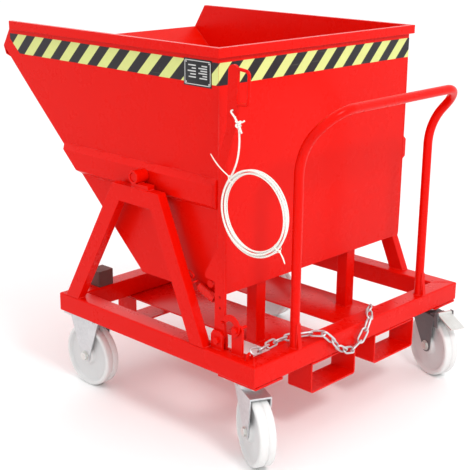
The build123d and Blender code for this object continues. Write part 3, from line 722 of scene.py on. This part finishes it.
@dataclass(frozen=True)
class WheelSize:
    """Sizes of one wheel, in millimetres."""

    radius: float = 100.0
    half: float = 24.0
    hub: float = 27.0
    axle: float = 10.1
    steps: int = 96

    def profile(self) -> list[tuple[float, float]]:
        """The closed (radius, height) section."""
        r, w, hub = self.radius, self.half, self.hub
        face = [(self.axle, hub), (25.0, hub), (27.0, hub - 1.0), (28.5, hub - 3.5), (31.5, 17.2),
                (34.0, 15.6), (78.5, 15.2), (82.0, 16.6), (86.5, 22.6), (89.0, w), (94.0, w),
                (97.0, w - 0.9), (99.2, w - 3.2), (r, w - 6.0), (r, 2.9), (r - 0.5, 2.3), (r - 2.0, 1.3)]
        return face + [(a, -h) for a, h in reversed(face)]


@dataclass(frozen=True)
class PocketSize:
    """Sizes of a fork pocket's loops, in metres."""

    wall: float = 0.005
    loop: float = 0.085
    corner: float = 0.009
    least_corner: float = 0.003
    corner_steps: int = 7


class BaseFrame(Assembly):
    """Tubes, fork tunnels, A-frames, posts and the welds between them."""

    pocket_size = PocketSize()

    def build(self) -> None:
        shop, paint = self.shop, Finishes.PAINT
        for side in ("left", "right"):
            shop.soften(f"rail_{side}", paint, 5.0, 4, Run.ALONG_X)
            self.pocket(side)
            shop.soften(f"a_frame_{side}", paint, 3.5, 3, Run.NOT_Y)
            shop.soften(f"rear_post_{side}", paint, 3.0, 3, Run.ALONG_Z)
            shop.soften(f"pivot_bush_{side}", paint, 0.5, 1)
            shop.soften(f"stop_block_{side}", Finishes.BUFFER, 2.0, 3)
        for end in ("front", "rear"):
            shop.soften(f"{end}_cross_member", paint, 5.0, 4, Run.ALONG_Y)
        shop.soften("pivot_pedestals", paint, 1.5, 2)
        self.welds()

    def pocket(self, side: str) -> None:
        """The plate over one fork tine, with a rounded loop at each end."""
        low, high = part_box(f"fork_pocket_{side}")
        size = self.pocket_size
        wall, loop = size.wall, size.loop
        bm = bmesh.new()
        plate(bm, Vector((low.x, low.y, high.z - wall)), high, 0.0007)
        for x0, x1 in ((low.x, low.x + loop), (high.x - loop, high.x)):
            rings = []
            for x, inset in ((x0, 0.0), (x1, 0.0), (x1, wall), (x0, wall)):
                radius = max(size.corner - inset, size.least_corner)
                outline = [(low.y + inset, high.z - wall * 0.5)]
                for centre_y, first in ((low.y + inset + radius, 180), (high.y - inset - radius, 270)):
                    for step in range(size.corner_steps):
                        turn = math.radians(first + 15 * step)
                        outline.append((centre_y + radius * math.cos(turn),
                                        low.z + inset + radius + radius * math.sin(turn)))
                outline.append((high.y - inset, high.z - wall * 0.5))
                rings.append([bm.verts.new((x, y, z)) for y, z in outline])
            for one, two in zip(rings, rings[1:] + rings[:1]):
                for k in range(len(one) - 1):
                    bm.faces.new((one[k], one[k + 1], two[k + 1], two[k]))
            for index in (0, -1):
                bm.faces.new([ring[index] for ring in rings])
        bmesh.ops.recalc_face_normals(bm, faces=bm.faces)
        self.shop.finish(bm, f"fork_pocket_{side}_loops", "chassis", Finishes.PAINT, (f"fork_pocket_{side}",))

    def welds(self) -> None:
        """Beads along the joints of the welded frame."""
        at = self.shop.at
        bm = bmesh.new()
        top, low = RAIL_TOP, RAIL_BOTTOM
        for sx in (-1, 1):
            for sy in (-1, 1):
                bead(bm, at(sx * 411, sy * 481, top - 0.6), at(sx * 357, sy * 427, top - 0.6), 2.2 * MM)
        for sy in (-1, 1):
            for x0, x1 in ((326, 382), (-223, -170)):
                bead(bm, at(x0, sy * 454, top + 0.6), at(x1, sy * 454, top + 0.6), 2.6 * MM)
            for x, y in ((383.6, 0), (325, 0), (-224.6, 0), (-169, 0)):
                bead(bm, at(x, sy * 457, top + 1 + y), at(x, sy * 482, top + 1 + y), 2.6 * MM)
            bead(bm, at(1, sy * 481.4, 704.5), at(69, sy * 481.4, 704.5), 2.2 * MM)
            for x in (-0.4, 70.4):
                bead(bm, at(x, sy * 456, 704.6), at(x, sy * 480, 704.6), 2.2 * MM)
            for x in (41.5, 62.5):
                bead(bm, at(x, sy * 456, 717.8), at(x, sy * 480, 717.8), 1.9 * MM)
            for y in (46.0, 248.0):
                for x in (-1, 1):
                    bead(bm, at(x * 413, sy * y, low - 5.2), at(x * 332, sy * y, low - 5.2), 1.8 * MM)
        for y in (230, -192):
            for dy in (-20.4, 20.4):
                bead(bm, at(-204, y + dy, low + 0.8), at(-166, y + dy, low + 0.8), 2.3 * MM)
            for dx in (-20.4, 20.4):
                bead(bm, at(-185 + dx, y - 19, low + 0.8), at(-185 + dx, y + 19, low + 0.8), 2.3 * MM)
        for x0, x1, y in ((-272, -230, 462.4), (-272, -230, 437.6), (-339, -301, 454.4)):
            bead(bm, at(x0, y, top + 0.8), at(x1, y, top + 0.8), 2.3 * MM)
        for x in (-340.4, -299.6):
            bead(bm, at(x, 448, top + 0.8), at(x, 453, top + 0.8), 2.0 * MM)
        self.shop.finish(bm, "frame_welds", "chassis", Finishes.WELD)


class Castors(Assembly):
    """Four castors, with their wheels, forks, fasteners and the brake."""

    size = WheelSize()

    def wheel(self, node: str, body: str, turn: float) -> None:
        """Spins one wheel about its own axle."""
        bm = bmesh.new()
        profile = [(r * MM, h * MM) for r, h in self.size.profile()]
        spin_profile(bm, profile, Matrix.Identity(4), self.size.steps)
        # the tread weight carries the dirt marks and the painted light of TreadFinish: 1 at the tread, 0.35
        # at the hub
        layer = bm.verts.layers.float.new("tread")
        for vert in bm.verts:
            radius = math.hypot(vert.co.x, vert.co.y) / MM
            vert[layer] = min(1.0, max(0.0, (radius - 84.0) / 14.0)) + (0.35 if radius < 30 else 0.0)
        place = Matrix.Translation(self.shop.middle(node)) @ Matrix.Rotation(math.radians(turn), 4, "Z")
        bm.transform(place @ Matrix.Rotation(math.radians(90), 4, "X"))
        self.shop.finish(bm, f"{node}_tyre", body, Finishes.NYLON, (node,), smooth=40)

    def collars(self, name: str, node: str, body: str, turn: float) -> None:
        """Washers outside the fork and spacers beside the hub."""
        bm = bmesh.new()
        middle = self.shop.middle(node)
        axis = Matrix.Rotation(math.radians(turn), 3, "Z") @ Vector((0, 1, 0))
        for sign in (-1, 1):
            washer(bm, middle + axis * sign * 32.3 * MM, axis, 0.0165, 0.009, 0.0016)
            washer(bm, middle + axis * sign * 27.5 * MM, axis, 0.0155, 0.0101, 0.0008)
        self.shop.finish(bm, name, body, Finishes.ZINC)

    def build(self) -> None:
        shop = self.shop
        for side, turn in (("left", -27.0), ("right", -20.0)):
            self.wheel(f"front_wheel_{side}", f"wheel_front_{side}", 0.0)
            self.wheel(f"rear_wheel_{side}", f"wheel_rear_{side}", turn)
            self.collars(f"front_collars_{side}", f"front_wheel_{side}", "chassis", 0.0)
            self.collars(f"rear_collars_{side}", f"rear_wheel_{side}", f"swivel_{side}", turn)
            # the right rear fork gets the dark steel finish as painted shade; it is galvanised like the left
            # one
            fork = Finishes.GALVANISED if side == "left" else Finishes.DARK_STEEL_AND_SHADE
            shop.soften(f"front_fork_{side}", Finishes.GALVANISED, 1.4, 3)
            shop.soften(f"rear_fork_{side}", fork, 1.4, 3)
            shop.soften(f"swivel_plate_{side}", Finishes.PAINT, 1.2, 2)
            shop.soften(f"rear_axle_{side}", Finishes.ZINC, 0.9, 2)
            self.race(side)
        shop.soften("front_axles", Finishes.ZINC, 0.9, 2)
        shop.soften("castor_bolts", Finishes.ZINC, 0.9, 2)
        shop.soften("brake_housing", Finishes.DARK_STEEL_AND_SHADE, 1.0, 2)
        shop.soften("brake_pedal", Finishes.ZINC, 1.0, 2)
        self.bolt_washers()

    def race(self, side: str) -> None:
        """The rolled ball race between the plate and the fork."""
        low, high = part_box(f"swivel_plate_{side}")
        centre = Vector(((low.x + high.x) / 2, (low.y + high.y) / 2, high.z - 0.0185))
        bm = bmesh.new()
        path = circle(centre, 0.0362, 72)
        tube(bm, path, [0.0024] * len(path), 10, closed=True)
        self.shop.finish(bm, f"swivel_race_{side}", "chassis", Finishes.ZINC)

    def bolt_washers(self) -> None:
        """Washers under the heads of the plate bolts."""
        bm = bmesh.new()
        for node in ("front_fork_left", "front_fork_right", "swivel_plate_left", "swivel_plate_right"):
            low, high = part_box(node)
            centre = Vector(((low.x + high.x) / 2, (low.y + high.y) / 2, high.z - 0.0064))
            for dx in (-0.0525, 0.0525):
                for dy in (-0.04, 0.04):
                    washer(bm, centre + Vector((dx, dy, 0)), Vector((0, 0, 1)), 0.0098, 0.0052, 0.001)
        self.shop.finish(bm, "plate_washers", "chassis", Finishes.ZINC)


class Hopper(Assembly):
    """The tipping body, its pins, welds, tape and plate."""

    slope = 0.9296

    def wall(self, x: float) -> float:
        """Height of the outer face of the sloped wall, in millimetres."""
        return 432.0 + (x - 90.0) * self.slope

    def build(self) -> None:
        shop = self.shop
        for side in ("left", "right"):
            shop.soften(f"hopper_side_{side}", Finishes.PAINT, 0.9, 2)
            shop.soften(f"hopper_stiffener_{side}", Finishes.PAINT, 2.2, 3)
            shop.soften(f"pivot_pin_{side}", Finishes.PAINT, 0.9, 2)
        shop.soften("hopper_rear_panel", Finishes.PAINT, 0.9, 2)
        shop.soften("hopper_floor", Finishes.PAINT_INSIDE, 0.9, 2)
        shop.soften("catch_pin", Finishes.PAINT, 1.0, 2)
        shop.adopt("warning_tape", Finishes.TAPE)
        self.welds()
        self.nameplate()
        self.front_tape()

    def welds(self) -> None:
        """Stitch and seam beads of the hopper."""
        at = self.shop.at
        bm = bmesh.new()
        for sy in (-1, 1):
            for start in range(-190, 380, 110):
                for z in (680.6, 767.4):
                    last = min(start + 42, 90 + (z - 432) / self.slope - 16)
                    if last > start + 12:
                        bead(bm, at(start, sy * 425.4, z), at(last, sy * 425.4, z), 1.9 * MM)
            inner = sy * 421.4
            bead(bm, at(-212, inner, 435.6), at(84, inner, 435.6), 2.6 * MM)
            bead(bm, at(88, inner, 438), at(726, inner, self.wall(726) + 4.6), 2.6 * MM)
            bead(bm, at(-214.4, inner, 438), at(-214.4, inner, 1108), 2.6 * MM)
            bead(bm, at(-218.2, sy * 424.2, 440), at(-218.2, sy * 424.2, 1012), 1.5 * MM)
            bead(bm, at(92, sy * 424, self.wall(92) - 0.4), at(700, sy * 424, self.wall(700) - 0.4), 1.5 * MM)
        self.shop.finish(bm, "hopper_welds", "hopper", Finishes.WELD)

    def nameplate(self) -> None:
        """A blank black plate with a silver border, pale bars and corner rivets."""
        shop = self.shop
        low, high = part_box("nameplate")
        bm = bmesh.new()
        plate(bm, low, high, 0.0005)
        shop.finish(bm, "nameplate_panel", "hopper", Finishes.PLATE, ("nameplate",))
        bm = bmesh.new()
        face, rise, edge = high.y, 0.00035, 0.0022
        inset = 0.0035
        x0, x1, z0, z1 = low.x + inset, high.x - inset, low.z + inset, high.z - inset
        for a, b in (((x0, z0), (x1, z0 + edge)), ((x0, z1 - edge), (x1, z1)), ((x0, z0), (x0 + edge, z1)),
                     ((x1 - edge, z0), (x1, z1))):
            plate(bm, Vector((a[0], face - 0.0001, a[1])), Vector((b[0], face + rise, b[1])), 0.0001)
        columns = ((0.13, (0.34, 0.46, 0.38, 0.46, 0.3, 0.42)), (0.56, (0.86, 0.72, 0.88, 0.78, 0.84)))
        for start, ends in columns:
            for row, end in enumerate(ends):
                top = z1 - 0.012 - row * (z1 - z0 - 0.026) / len(ends)
                a = Vector((x0 + (x1 - x0) * start, face - 0.0001, top - 0.0032))
                b = Vector((x0 + (x1 - x0) * end, face + rise, top))
                plate(bm, a, b, 0.0001)
        for x in (low.x + 0.009, high.x - 0.009):
            for z in (low.z + 0.009, high.z - 0.009):
                made = bmesh.ops.create_uvsphere(bm, u_segments=16, v_segments=8, radius=0.0024)
                bmesh.ops.scale(bm, vec=(1, 0.45, 1), verts=made["verts"])
                bmesh.ops.translate(bm, vec=(x, face, z), verts=made["verts"])
        shop.finish(bm, "nameplate_print", "hopper", Finishes.SILVER)

    def front_tape(self) -> None:
        """The short ends of tape that wrap round the front slope."""
        at = self.shop.at
        bm = bmesh.new()
        corners = [(640.2, 1016.0), (652.0, 1016.0), (700.0, 1058.0), (700.0, 1075.0), (640.2, 1075.0)]
        for sy in (-1, 1):
            ring = [bm.verts.new(at(x, sy * 425.6, z)) for x, z in corners]
            back = [bm.verts.new(at(x, sy * 424.8, z)) for x, z in corners]
            bm.faces.new(ring)
            for a, b, c, d in zip(ring, ring[1:] + ring[:1], back[1:] + back[:1], back):
                bm.faces.new((a, b, c, d))
        bmesh.ops.recalc_face_normals(bm, faces=bm.faces)
        self.shop.finish(bm, "warning_tape_ends", "hopper", Finishes.TAPE)


@dataclass(frozen=True)
class SpringSize:
    """Sizes of the extension spring, in metres."""

    wire: float = 0.0014
    radius: float = 0.0113
    lead: float = 0.015
    tail: float = 0.0325
    pitch: float = 2.3
    hook: float = 0.0062
    turn_steps: int = 14
    hook_steps: int = 16


class Latch(Assembly):
    """Latch lever, its spring, handle, safety catch and pivots."""

    spring_size = SpringSize()

    def build(self) -> None:
        shop, paint = self.shop, Finishes.PAINT
        shop.soften("latch_lever", paint, 1.0, 2)
        shop.soften("release_handle", paint, 0.4, 1)
        shop.soften("safety_catch", paint, 0.8, 2)
        shop.soften("latch_bracket", paint, 0.9, 2)
        shop.soften("safety_lug", paint, 0.9, 2)
        shop.soften("lever_pivot_bolt", paint, 0.9, 2)
        shop.soften("safety_bolt", paint, 0.8, 2)
        self.anchor()
        self.spring()
        self.handle_welds()

    def anchor(self) -> None:
        """The two welded links that the spring hangs from."""
        self.shop.soften("spring_anchor", Finishes.PAINT, 0.2, 1)

    def handle_welds(self) -> None:
        """Beads where the handle meets the lever."""
        at = self.shop.at
        bm = bmesh.new()
        for x, z in ((-313.5, 1072.2), (-311.2, 984.2)):
            bead(bm, at(x, 446.5, z), at(x + 0.6, 453.5, z + 0.3), 3.0 * MM, 0.0026)
        self.shop.finish(bm, "handle_welds", "latch", Finishes.WELD)

    def spring(self) -> None:
        """Close-coiled extension spring with a hook at each end."""
        shop = self.shop
        start, end = shop.at(-150, 440, 461), shop.at(-254, 441.5, 421)
        along = (end - start).normalized()
        frame_matrix = basis(along, Vector((0, 0, 1)))
        length = (end - start).length
        size = self.spring_size
        lead, tail = size.lead, size.tail
        turns = (length - lead - tail) / (size.pitch * size.wire)
        path: list[Vector] = []

        def put(x: float, y: float, z: float) -> None:
            path.append(start + frame_matrix @ Vector((x, y, z)))
        for i in range(size.hook_steps + 1):
            turn = math.pi * (0.6 - 1.6 * i / size.hook_steps)
            put(0.003 + size.hook * math.cos(turn) * 0.9, 0.0, size.hook * math.sin(turn))
        put(lead - 0.004, 0.0, -0.003)
        steps = int(turns * size.turn_steps)
        for i in range(steps + 1):
            turn = math.tau * turns * i / steps
            put(lead + (length - lead - tail) * i / steps, size.radius * math.sin(turn),
                -size.radius * math.cos(turn))
        put(length - tail + 0.004, 0.0, -0.006)
        put(length - tail + 0.008, 0.0, -0.002)
        put(length - 0.010, 0.0, -0.001)
        for i in range(size.hook_steps + 1):
            turn = math.pi * (1.0 + 1.6 * i / size.hook_steps)
            put(length - 0.003 + 0.0056 * math.cos(turn), 0.0, size.hook * math.sin(turn))
        bm = bmesh.new()
        tube(bm, path, [size.wire] * len(path), 8)
        obj = shop.finish(bm, "extension_spring", "", Finishes.SPRING, ("latch_spring",), smooth=60)
        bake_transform(obj)


class PushBar(Assembly):
    """The bent push bar with its gussets and foot welds."""

    def build(self) -> None:
        shop = self.shop
        shop.soften("push_bar", Finishes.PAINT, 0.3, 1)
        shop.soften("push_bar_gussets", Finishes.PAINT, 1.0, 2)
        bm = bmesh.new()
        for sy in (-1, 1):
            ring_bead(bm, shop.at(-393, sy * 300, 300.8), 0.0142, 0.0026)
            for dy in (-7.4, 7.4):
                bead(bm, shop.at(-407, sy * 300 + dy, 304), shop.at(-407, sy * 300 + dy, 372), 1.9 * MM)
                bead(bm, shop.at(-414, sy * 300 + dy, 300.8), shop.at(-408, sy * 300 + dy, 300.8), 1.9 * MM)
        shop.finish(bm, "push_bar_welds", "chassis", Finishes.WELD)


@dataclass(frozen=True)
class ChainSize:
    """Sizes of the securing chain, in millimetres."""

    wire: float = 6.0
    length: float = 52.0
    width: float = 25.0
    pitch: float = 39.0
    route: tuple[tuple[float, float, float], ...] = (
        (-364, 443, 321), (-360, 408, 313), (-352, 368, 311), (-347, 328, 311), (-350, 285, 311),
        (-362, 250, 311), (-384, 222, 315), (-414, 206, 324), (-434, 190, 306), (-431, 163, 277),
        (-430, 130, 251), (-430, 92, 236), (-430, 55, 244), (-430, 32, 272), (-436, 12, 306),
        (-418, -10, 326), (-398, -34, 323), (-382, -56, 321))


class SecuringChain(Assembly):
    """Welded links laid along the rear tube, and the eyes they hang from."""

    size = ChainSize()

    def build(self) -> None:
        shop, size = self.shop, self.size
        route = [shop.at(*p) for p in size.route]
        lengths = [(b - a).length for a, b in zip(route, route[1:])]
        count = round(sum(lengths) / (size.pitch * MM))
        step = sum(lengths) / count
        bm = bmesh.new()
        for index in range(count):
            head = self.along(route, lengths, index * step)
            tail = self.along(route, lengths, (index + 1) * step)
            turned = basis(tail - head, Vector((-0.7, 0, 0.72))).to_4x4()
            place = Matrix.Translation((head + tail) / 2) @ turned
            self.link(bm, place @ Matrix.Rotation(math.radians(90 * (index % 2)), 4, "X"))
        shop.finish(bm, "chain_links", "chassis", Finishes.GALVANISED, ("securing_chain",), smooth=60)
        shop.soften("chain_eyes", Finishes.PAINT, 1.2, 2)

    @staticmethod
    def along(route: Sequence[Vector], lengths: Sequence[float], distance: float) -> Vector:
        """The point at a distance along the route."""
        for index, length in enumerate(lengths):
            if distance <= length:
                return route[index].lerp(route[index + 1], distance / length)
            distance -= length
        return route[-1]

    def link(self, bm: BMesh, place: Matrix) -> None:
        """One oval link, a little thicker at its weld."""
        size = self.size
        radius, wire = (size.width - size.wire) / 2 * MM, size.wire / 2 * MM
        straight = (size.length - size.width) / 2 * MM
        path, radii = [], []
        for sign in (1, -1):
            for i in range(11):
                turn = math.pi * (i / 10 - 0.5)
                x, y = straight + radius * math.cos(turn), radius * math.sin(turn)
                path.append(place @ Vector((sign * x, sign * y, 0)))
                radii.append(wire)
            for share in (-0.5, -0.15, 0.15, 0.5):
                path.append(place @ Vector((sign * -share * straight * 1.6, sign * radius, 0)))
                radii.append(wire * (1.13 if sign > 0 and abs(share) < 0.2 else 1.0))
        tube(bm, path, radii, 10, closed=True)


@dataclass(frozen=True)
class RopeSize:
    """Sizes of the pull rope, in millimetres."""

    diameter: float = 5.0
    coil_radius: float = 109.0
    strand_offset: float = 7.0
    turns: float = 4.5
    steps: int = 24
    route: tuple[tuple[float, float, float], ...] = (
        (-297, 454, 967), (-297, 464.5, 967), (-313, 467, 957), (-330, 466, 936), (-332, 464, 890),
        (-327, 465, 845), (-313, 468, 807))


class PullRope(Assembly):
    """The rope from the lever, its knot, the hank and the two ties round it."""

    size = RopeSize()

    def build(self) -> None:
        shop, size = self.shop, self.size
        low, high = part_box("rope_coil")
        self.centre = (low + high) / 2
        points = [shop.at(*p) for p in size.route]
        points += self.coil(points[-1])
        data = bpy.data.curves.new("rope_line", "CURVE")
        data.dimensions = "3D"
        data.bevel_depth = size.diameter / 2 * MM
        data.bevel_resolution = 4
        data.resolution_u = 4
        data.use_fill_caps = True
        spline = data.splines.new("NURBS")
        spline.points.add(len(points) - 1)
        for item, point in zip(spline.points, points):
            item.co = (*point, 1.0)
        spline.order_u = 3
        spline.use_endpoint_u = True
        rope = bpy.data.objects.new("rope_line", data)
        bpy.context.scene.collection.objects.link(rope)
        shop.dress(rope, "latch", Finishes.ROPE, ("pull_rope", "rope_coil"))
        knot = self.knot()
        ties = self.ties()

    def coil(self, last: Vector) -> list[Vector]:
        """Control points of the hank, from where the rope comes down to it."""
        size = self.size
        away = last - self.centre
        start = math.atan2(away.z, away.x)
        points = []
        count = int(size.turns * size.steps)
        for i in range(1, count + 1):
            share = i / size.steps
            turn = start - math.tau * share
            lay = math.tau * share / 5.0
            radius = (size.coil_radius + size.strand_offset * math.cos(lay)) * MM
            depth = size.strand_offset * math.sin(lay) * MM
            points.append(self.centre + Vector((radius * math.cos(turn), depth, radius * math.sin(turn))))
        return points

    def knot(self) -> Piece:
        """An overhand knot with two short ends."""
        middle = self.shop.middle("rope_knot")
        count = 72
        path = []
        for i in range(count):
            t = math.tau * i / count
            x, y, z = math.sin(t) + 2 * math.sin(2 * t), math.cos(t) - 2 * math.cos(2 * t), -math.sin(3 * t)
            path.append(middle + Vector((x * 0.0029, z * 0.0045, y * 0.0029)))
        bm = bmesh.new()
        tube(bm, path, [0.0024] * count, 12, closed=True)
        for ends in (((-5, -2, 3), (-13, -1, 6), (-21, 0, 10)), ((-4, 2, -4), (-10, 3, -11), (-15, 3, -22)),
                     ((3, 1, 5), (8, 2, 11), (10, 2, 18))):
            tube(bm, [middle + Vector(p) * MM for p in ends], [0.0022, 0.0022, 0.0024], 10)
        self.uv(bm)
        return self.shop.finish(bm, "rope_knot_turns", "latch", Finishes.KNOT, ("rope_knot",), smooth=60)

    @staticmethod
    def uv(bm: BMesh) -> None:
        """Plain coordinates for the braid on the knot."""
        layer = bm.loops.layers.uv.new("UVMap")
        for face in bm.faces:
            for loop in face.loops:
                co = loop.vert.co
                loop[layer].uv = (co.x * 20.0 + co.z * 9.0, co.z * 20.0 + co.y * 15.0)

    def ties(self) -> list[Piece]:
        """Two flat ties with a head and a curved tail each."""
        made = []
        for name, angle, lean, tail in (("upper", 42.0, 37.0, 84.0), ("lower", -138.0, -122.0, 34.0)):
            turn, out = math.radians(angle), math.radians(lean)
            spot = self.centre + Vector((math.cos(turn), 0, math.sin(turn))) * self.size.coil_radius * MM
            along = Vector((-math.sin(turn), 0, math.cos(turn)))
            bm = bmesh.new()
            washer(bm, spot, along, 0.0105, 0.0093, 0.0038)
            radial = Vector((math.cos(out), 0, math.sin(out)))
            head = spot + radial * 0.0112
            made_head = bmesh.ops.create_cube(bm, size=1.0, matrix=Matrix.Translation(head) @ basis(
                radial, Vector((0, 1, 0))).to_4x4() @ Matrix.Diagonal((0.0052, 0.0062, 0.005, 1)))
            round_off(bm, list({e for v in made_head["verts"] for e in v.link_edges}), 0.0008, 2)
            self.tail(bm, head, radial, tail * MM)
            made.append(self.shop.finish(bm, f"cable_tie_{name}", "latch", Finishes.TIE,
                                         ("cable_ties",) if name == "upper" else ()))
        return made

    @staticmethod
    def tail(bm: BMesh, start: Vector, along: Vector, length: float) -> None:
        """The strap's free end, ribbed, tapering and slightly bent."""
        side = Vector((0, 1, 0)).cross(along)
        rings, count = [], 28
        for i in range(count + 1):
            t = i / count
            bend = side * (length * 0.07 * math.sin(math.pi * t * 0.9))
            place = start + along * (length * t) + bend
            wide = 0.0018 * (1.0 if t < 0.8 else 1.0 - (t - 0.8) * 3.0)
            thick = 0.00055 + 0.00012 * (i % 2)
            rings.append([bm.verts.new(place + Vector((0, 1, 0)) * wide * a + side * thick * b)
                          for a, b in ((-1, -1), (1, -1), (1, 1), (-1, 1))])
        link_rings(bm, rings)
        bm.faces.new(rings[0][::-1])
        bm.faces.new(rings[-1])


# ---------------------------------------------------------------- stage
@dataclass(frozen=True)
class Studio:
    """Floor, lights and camera."""

    camera_place: tuple[float, float, float] = (-2153.0, 2400.8, 1459.4)
    heading: float = -46.56
    tilt: float = -17.02
    roll: float = 0.6
    lens: float = 81.98
    world: float = 1.2

    def build(self, shop: Workshop) -> None:
        """Sets up everything that isn't the skip."""
        self.floor()
        self.world_light()
        middle = shop.origin
        self.area("key_light", middle + Vector((-3.3, 1.1, 3.4)), middle + Vector((-0.2, 0, 0.6)), 0.8, 75.0)
        self.area("front_light", middle + Vector((3.2, -1.0, 2.6)), middle + Vector((0, 0, 0.6)), 2.5, 10.0)
        self.camera(shop)

    def floor(self) -> None:
        """A plain pale floor."""
        bm = bmesh.new()
        bmesh.ops.create_grid(bm, x_segments=1, y_segments=1, size=14.0)
        mesh = bpy.data.meshes.new("floor")
        bm.to_mesh(mesh)
        bm.free()
        floor = bpy.data.objects.new("floor", mesh)
        bpy.context.scene.collection.objects.link(floor)
        material = bpy.data.materials.new("pale_floor")
        material.use_nodes = True
        s = NodeSketch(material.node_tree)
        shader = material.node_tree.nodes["Principled BSDF"]
        vector = s.add("ShaderNodeTexCoord").outputs["Object"]
        tone = s.mix(s.noise(vector, 1.2, 4.0), (0.9, 0.9, 0.9, 1), (0.87, 0.87, 0.87, 1))
        s.join(tone, shader.inputs["Base Color"])
        shader.inputs["Roughness"].default_value = 0.7
        floor.data.materials.append(material)

    def world_light(self) -> None:
        """Even white surroundings."""
        world = bpy.data.worlds.new("surroundings")
        world.use_nodes = True
        back = world.node_tree.nodes["Background"]
        back.inputs[0].default_value = (1.0, 1.0, 1.0, 1.0)
        back.inputs[1].default_value = self.world
        bpy.context.scene.world = world
        bpy.context.scene.view_settings.view_transform = "Standard"

    @staticmethod
    def area(name: str, place: Vector, target: Vector, size: float, power: float) -> None:
        """One square area light aimed at a point."""
        light = bpy.data.lights.new(name, "AREA")
        light.size = size
        light.energy = power
        obj = bpy.data.objects.new(name, light)
        obj.location = place
        obj.rotation_euler = (target - place).to_track_quat("-Z", "Y").to_euler()
        bpy.context.scene.collection.objects.link(obj)

    def camera(self, shop: Workshop) -> None:
        """The camera, placed from the middle of the base frame."""
        yaw, tilt, roll = (math.radians(a) for a in (self.heading, self.tilt, self.roll))
        ahead = Vector((math.cos(yaw) * math.cos(tilt), math.sin(yaw) * math.cos(tilt), math.sin(tilt)))
        right = Vector((math.sin(yaw), -math.cos(yaw), 0.0))
        up = right.cross(ahead)
        tilted = right * math.cos(roll) + up * math.sin(roll)
        upright = up * math.cos(roll) - right * math.sin(roll)
        data = bpy.data.cameras.new("camera")
        data.sensor_width = 36.0
        data.lens = self.lens
        data.clip_end = 60.0
        camera = bpy.data.objects.new("camera", data)
        turn = Matrix((tilted, upright, -ahead)).transposed().to_4x4()
        camera.matrix_world = Matrix.Translation(shop.at(*self.camera_place)) @ turn
        bpy.context.scene.collection.objects.link(camera)
        bpy.context.scene.camera = camera


def main() -> None:
    """Builds the skip and its stage."""
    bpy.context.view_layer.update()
    shop = Workshop(frame)
    for part in (BaseFrame, Castors, Hopper, Latch, PushBar, SecuringChain, PullRope):
        part(shop).build()
        LOG.info("built %s", part.__name__)
    Studio().build(shop)


if __name__ == "__main__":
    main()
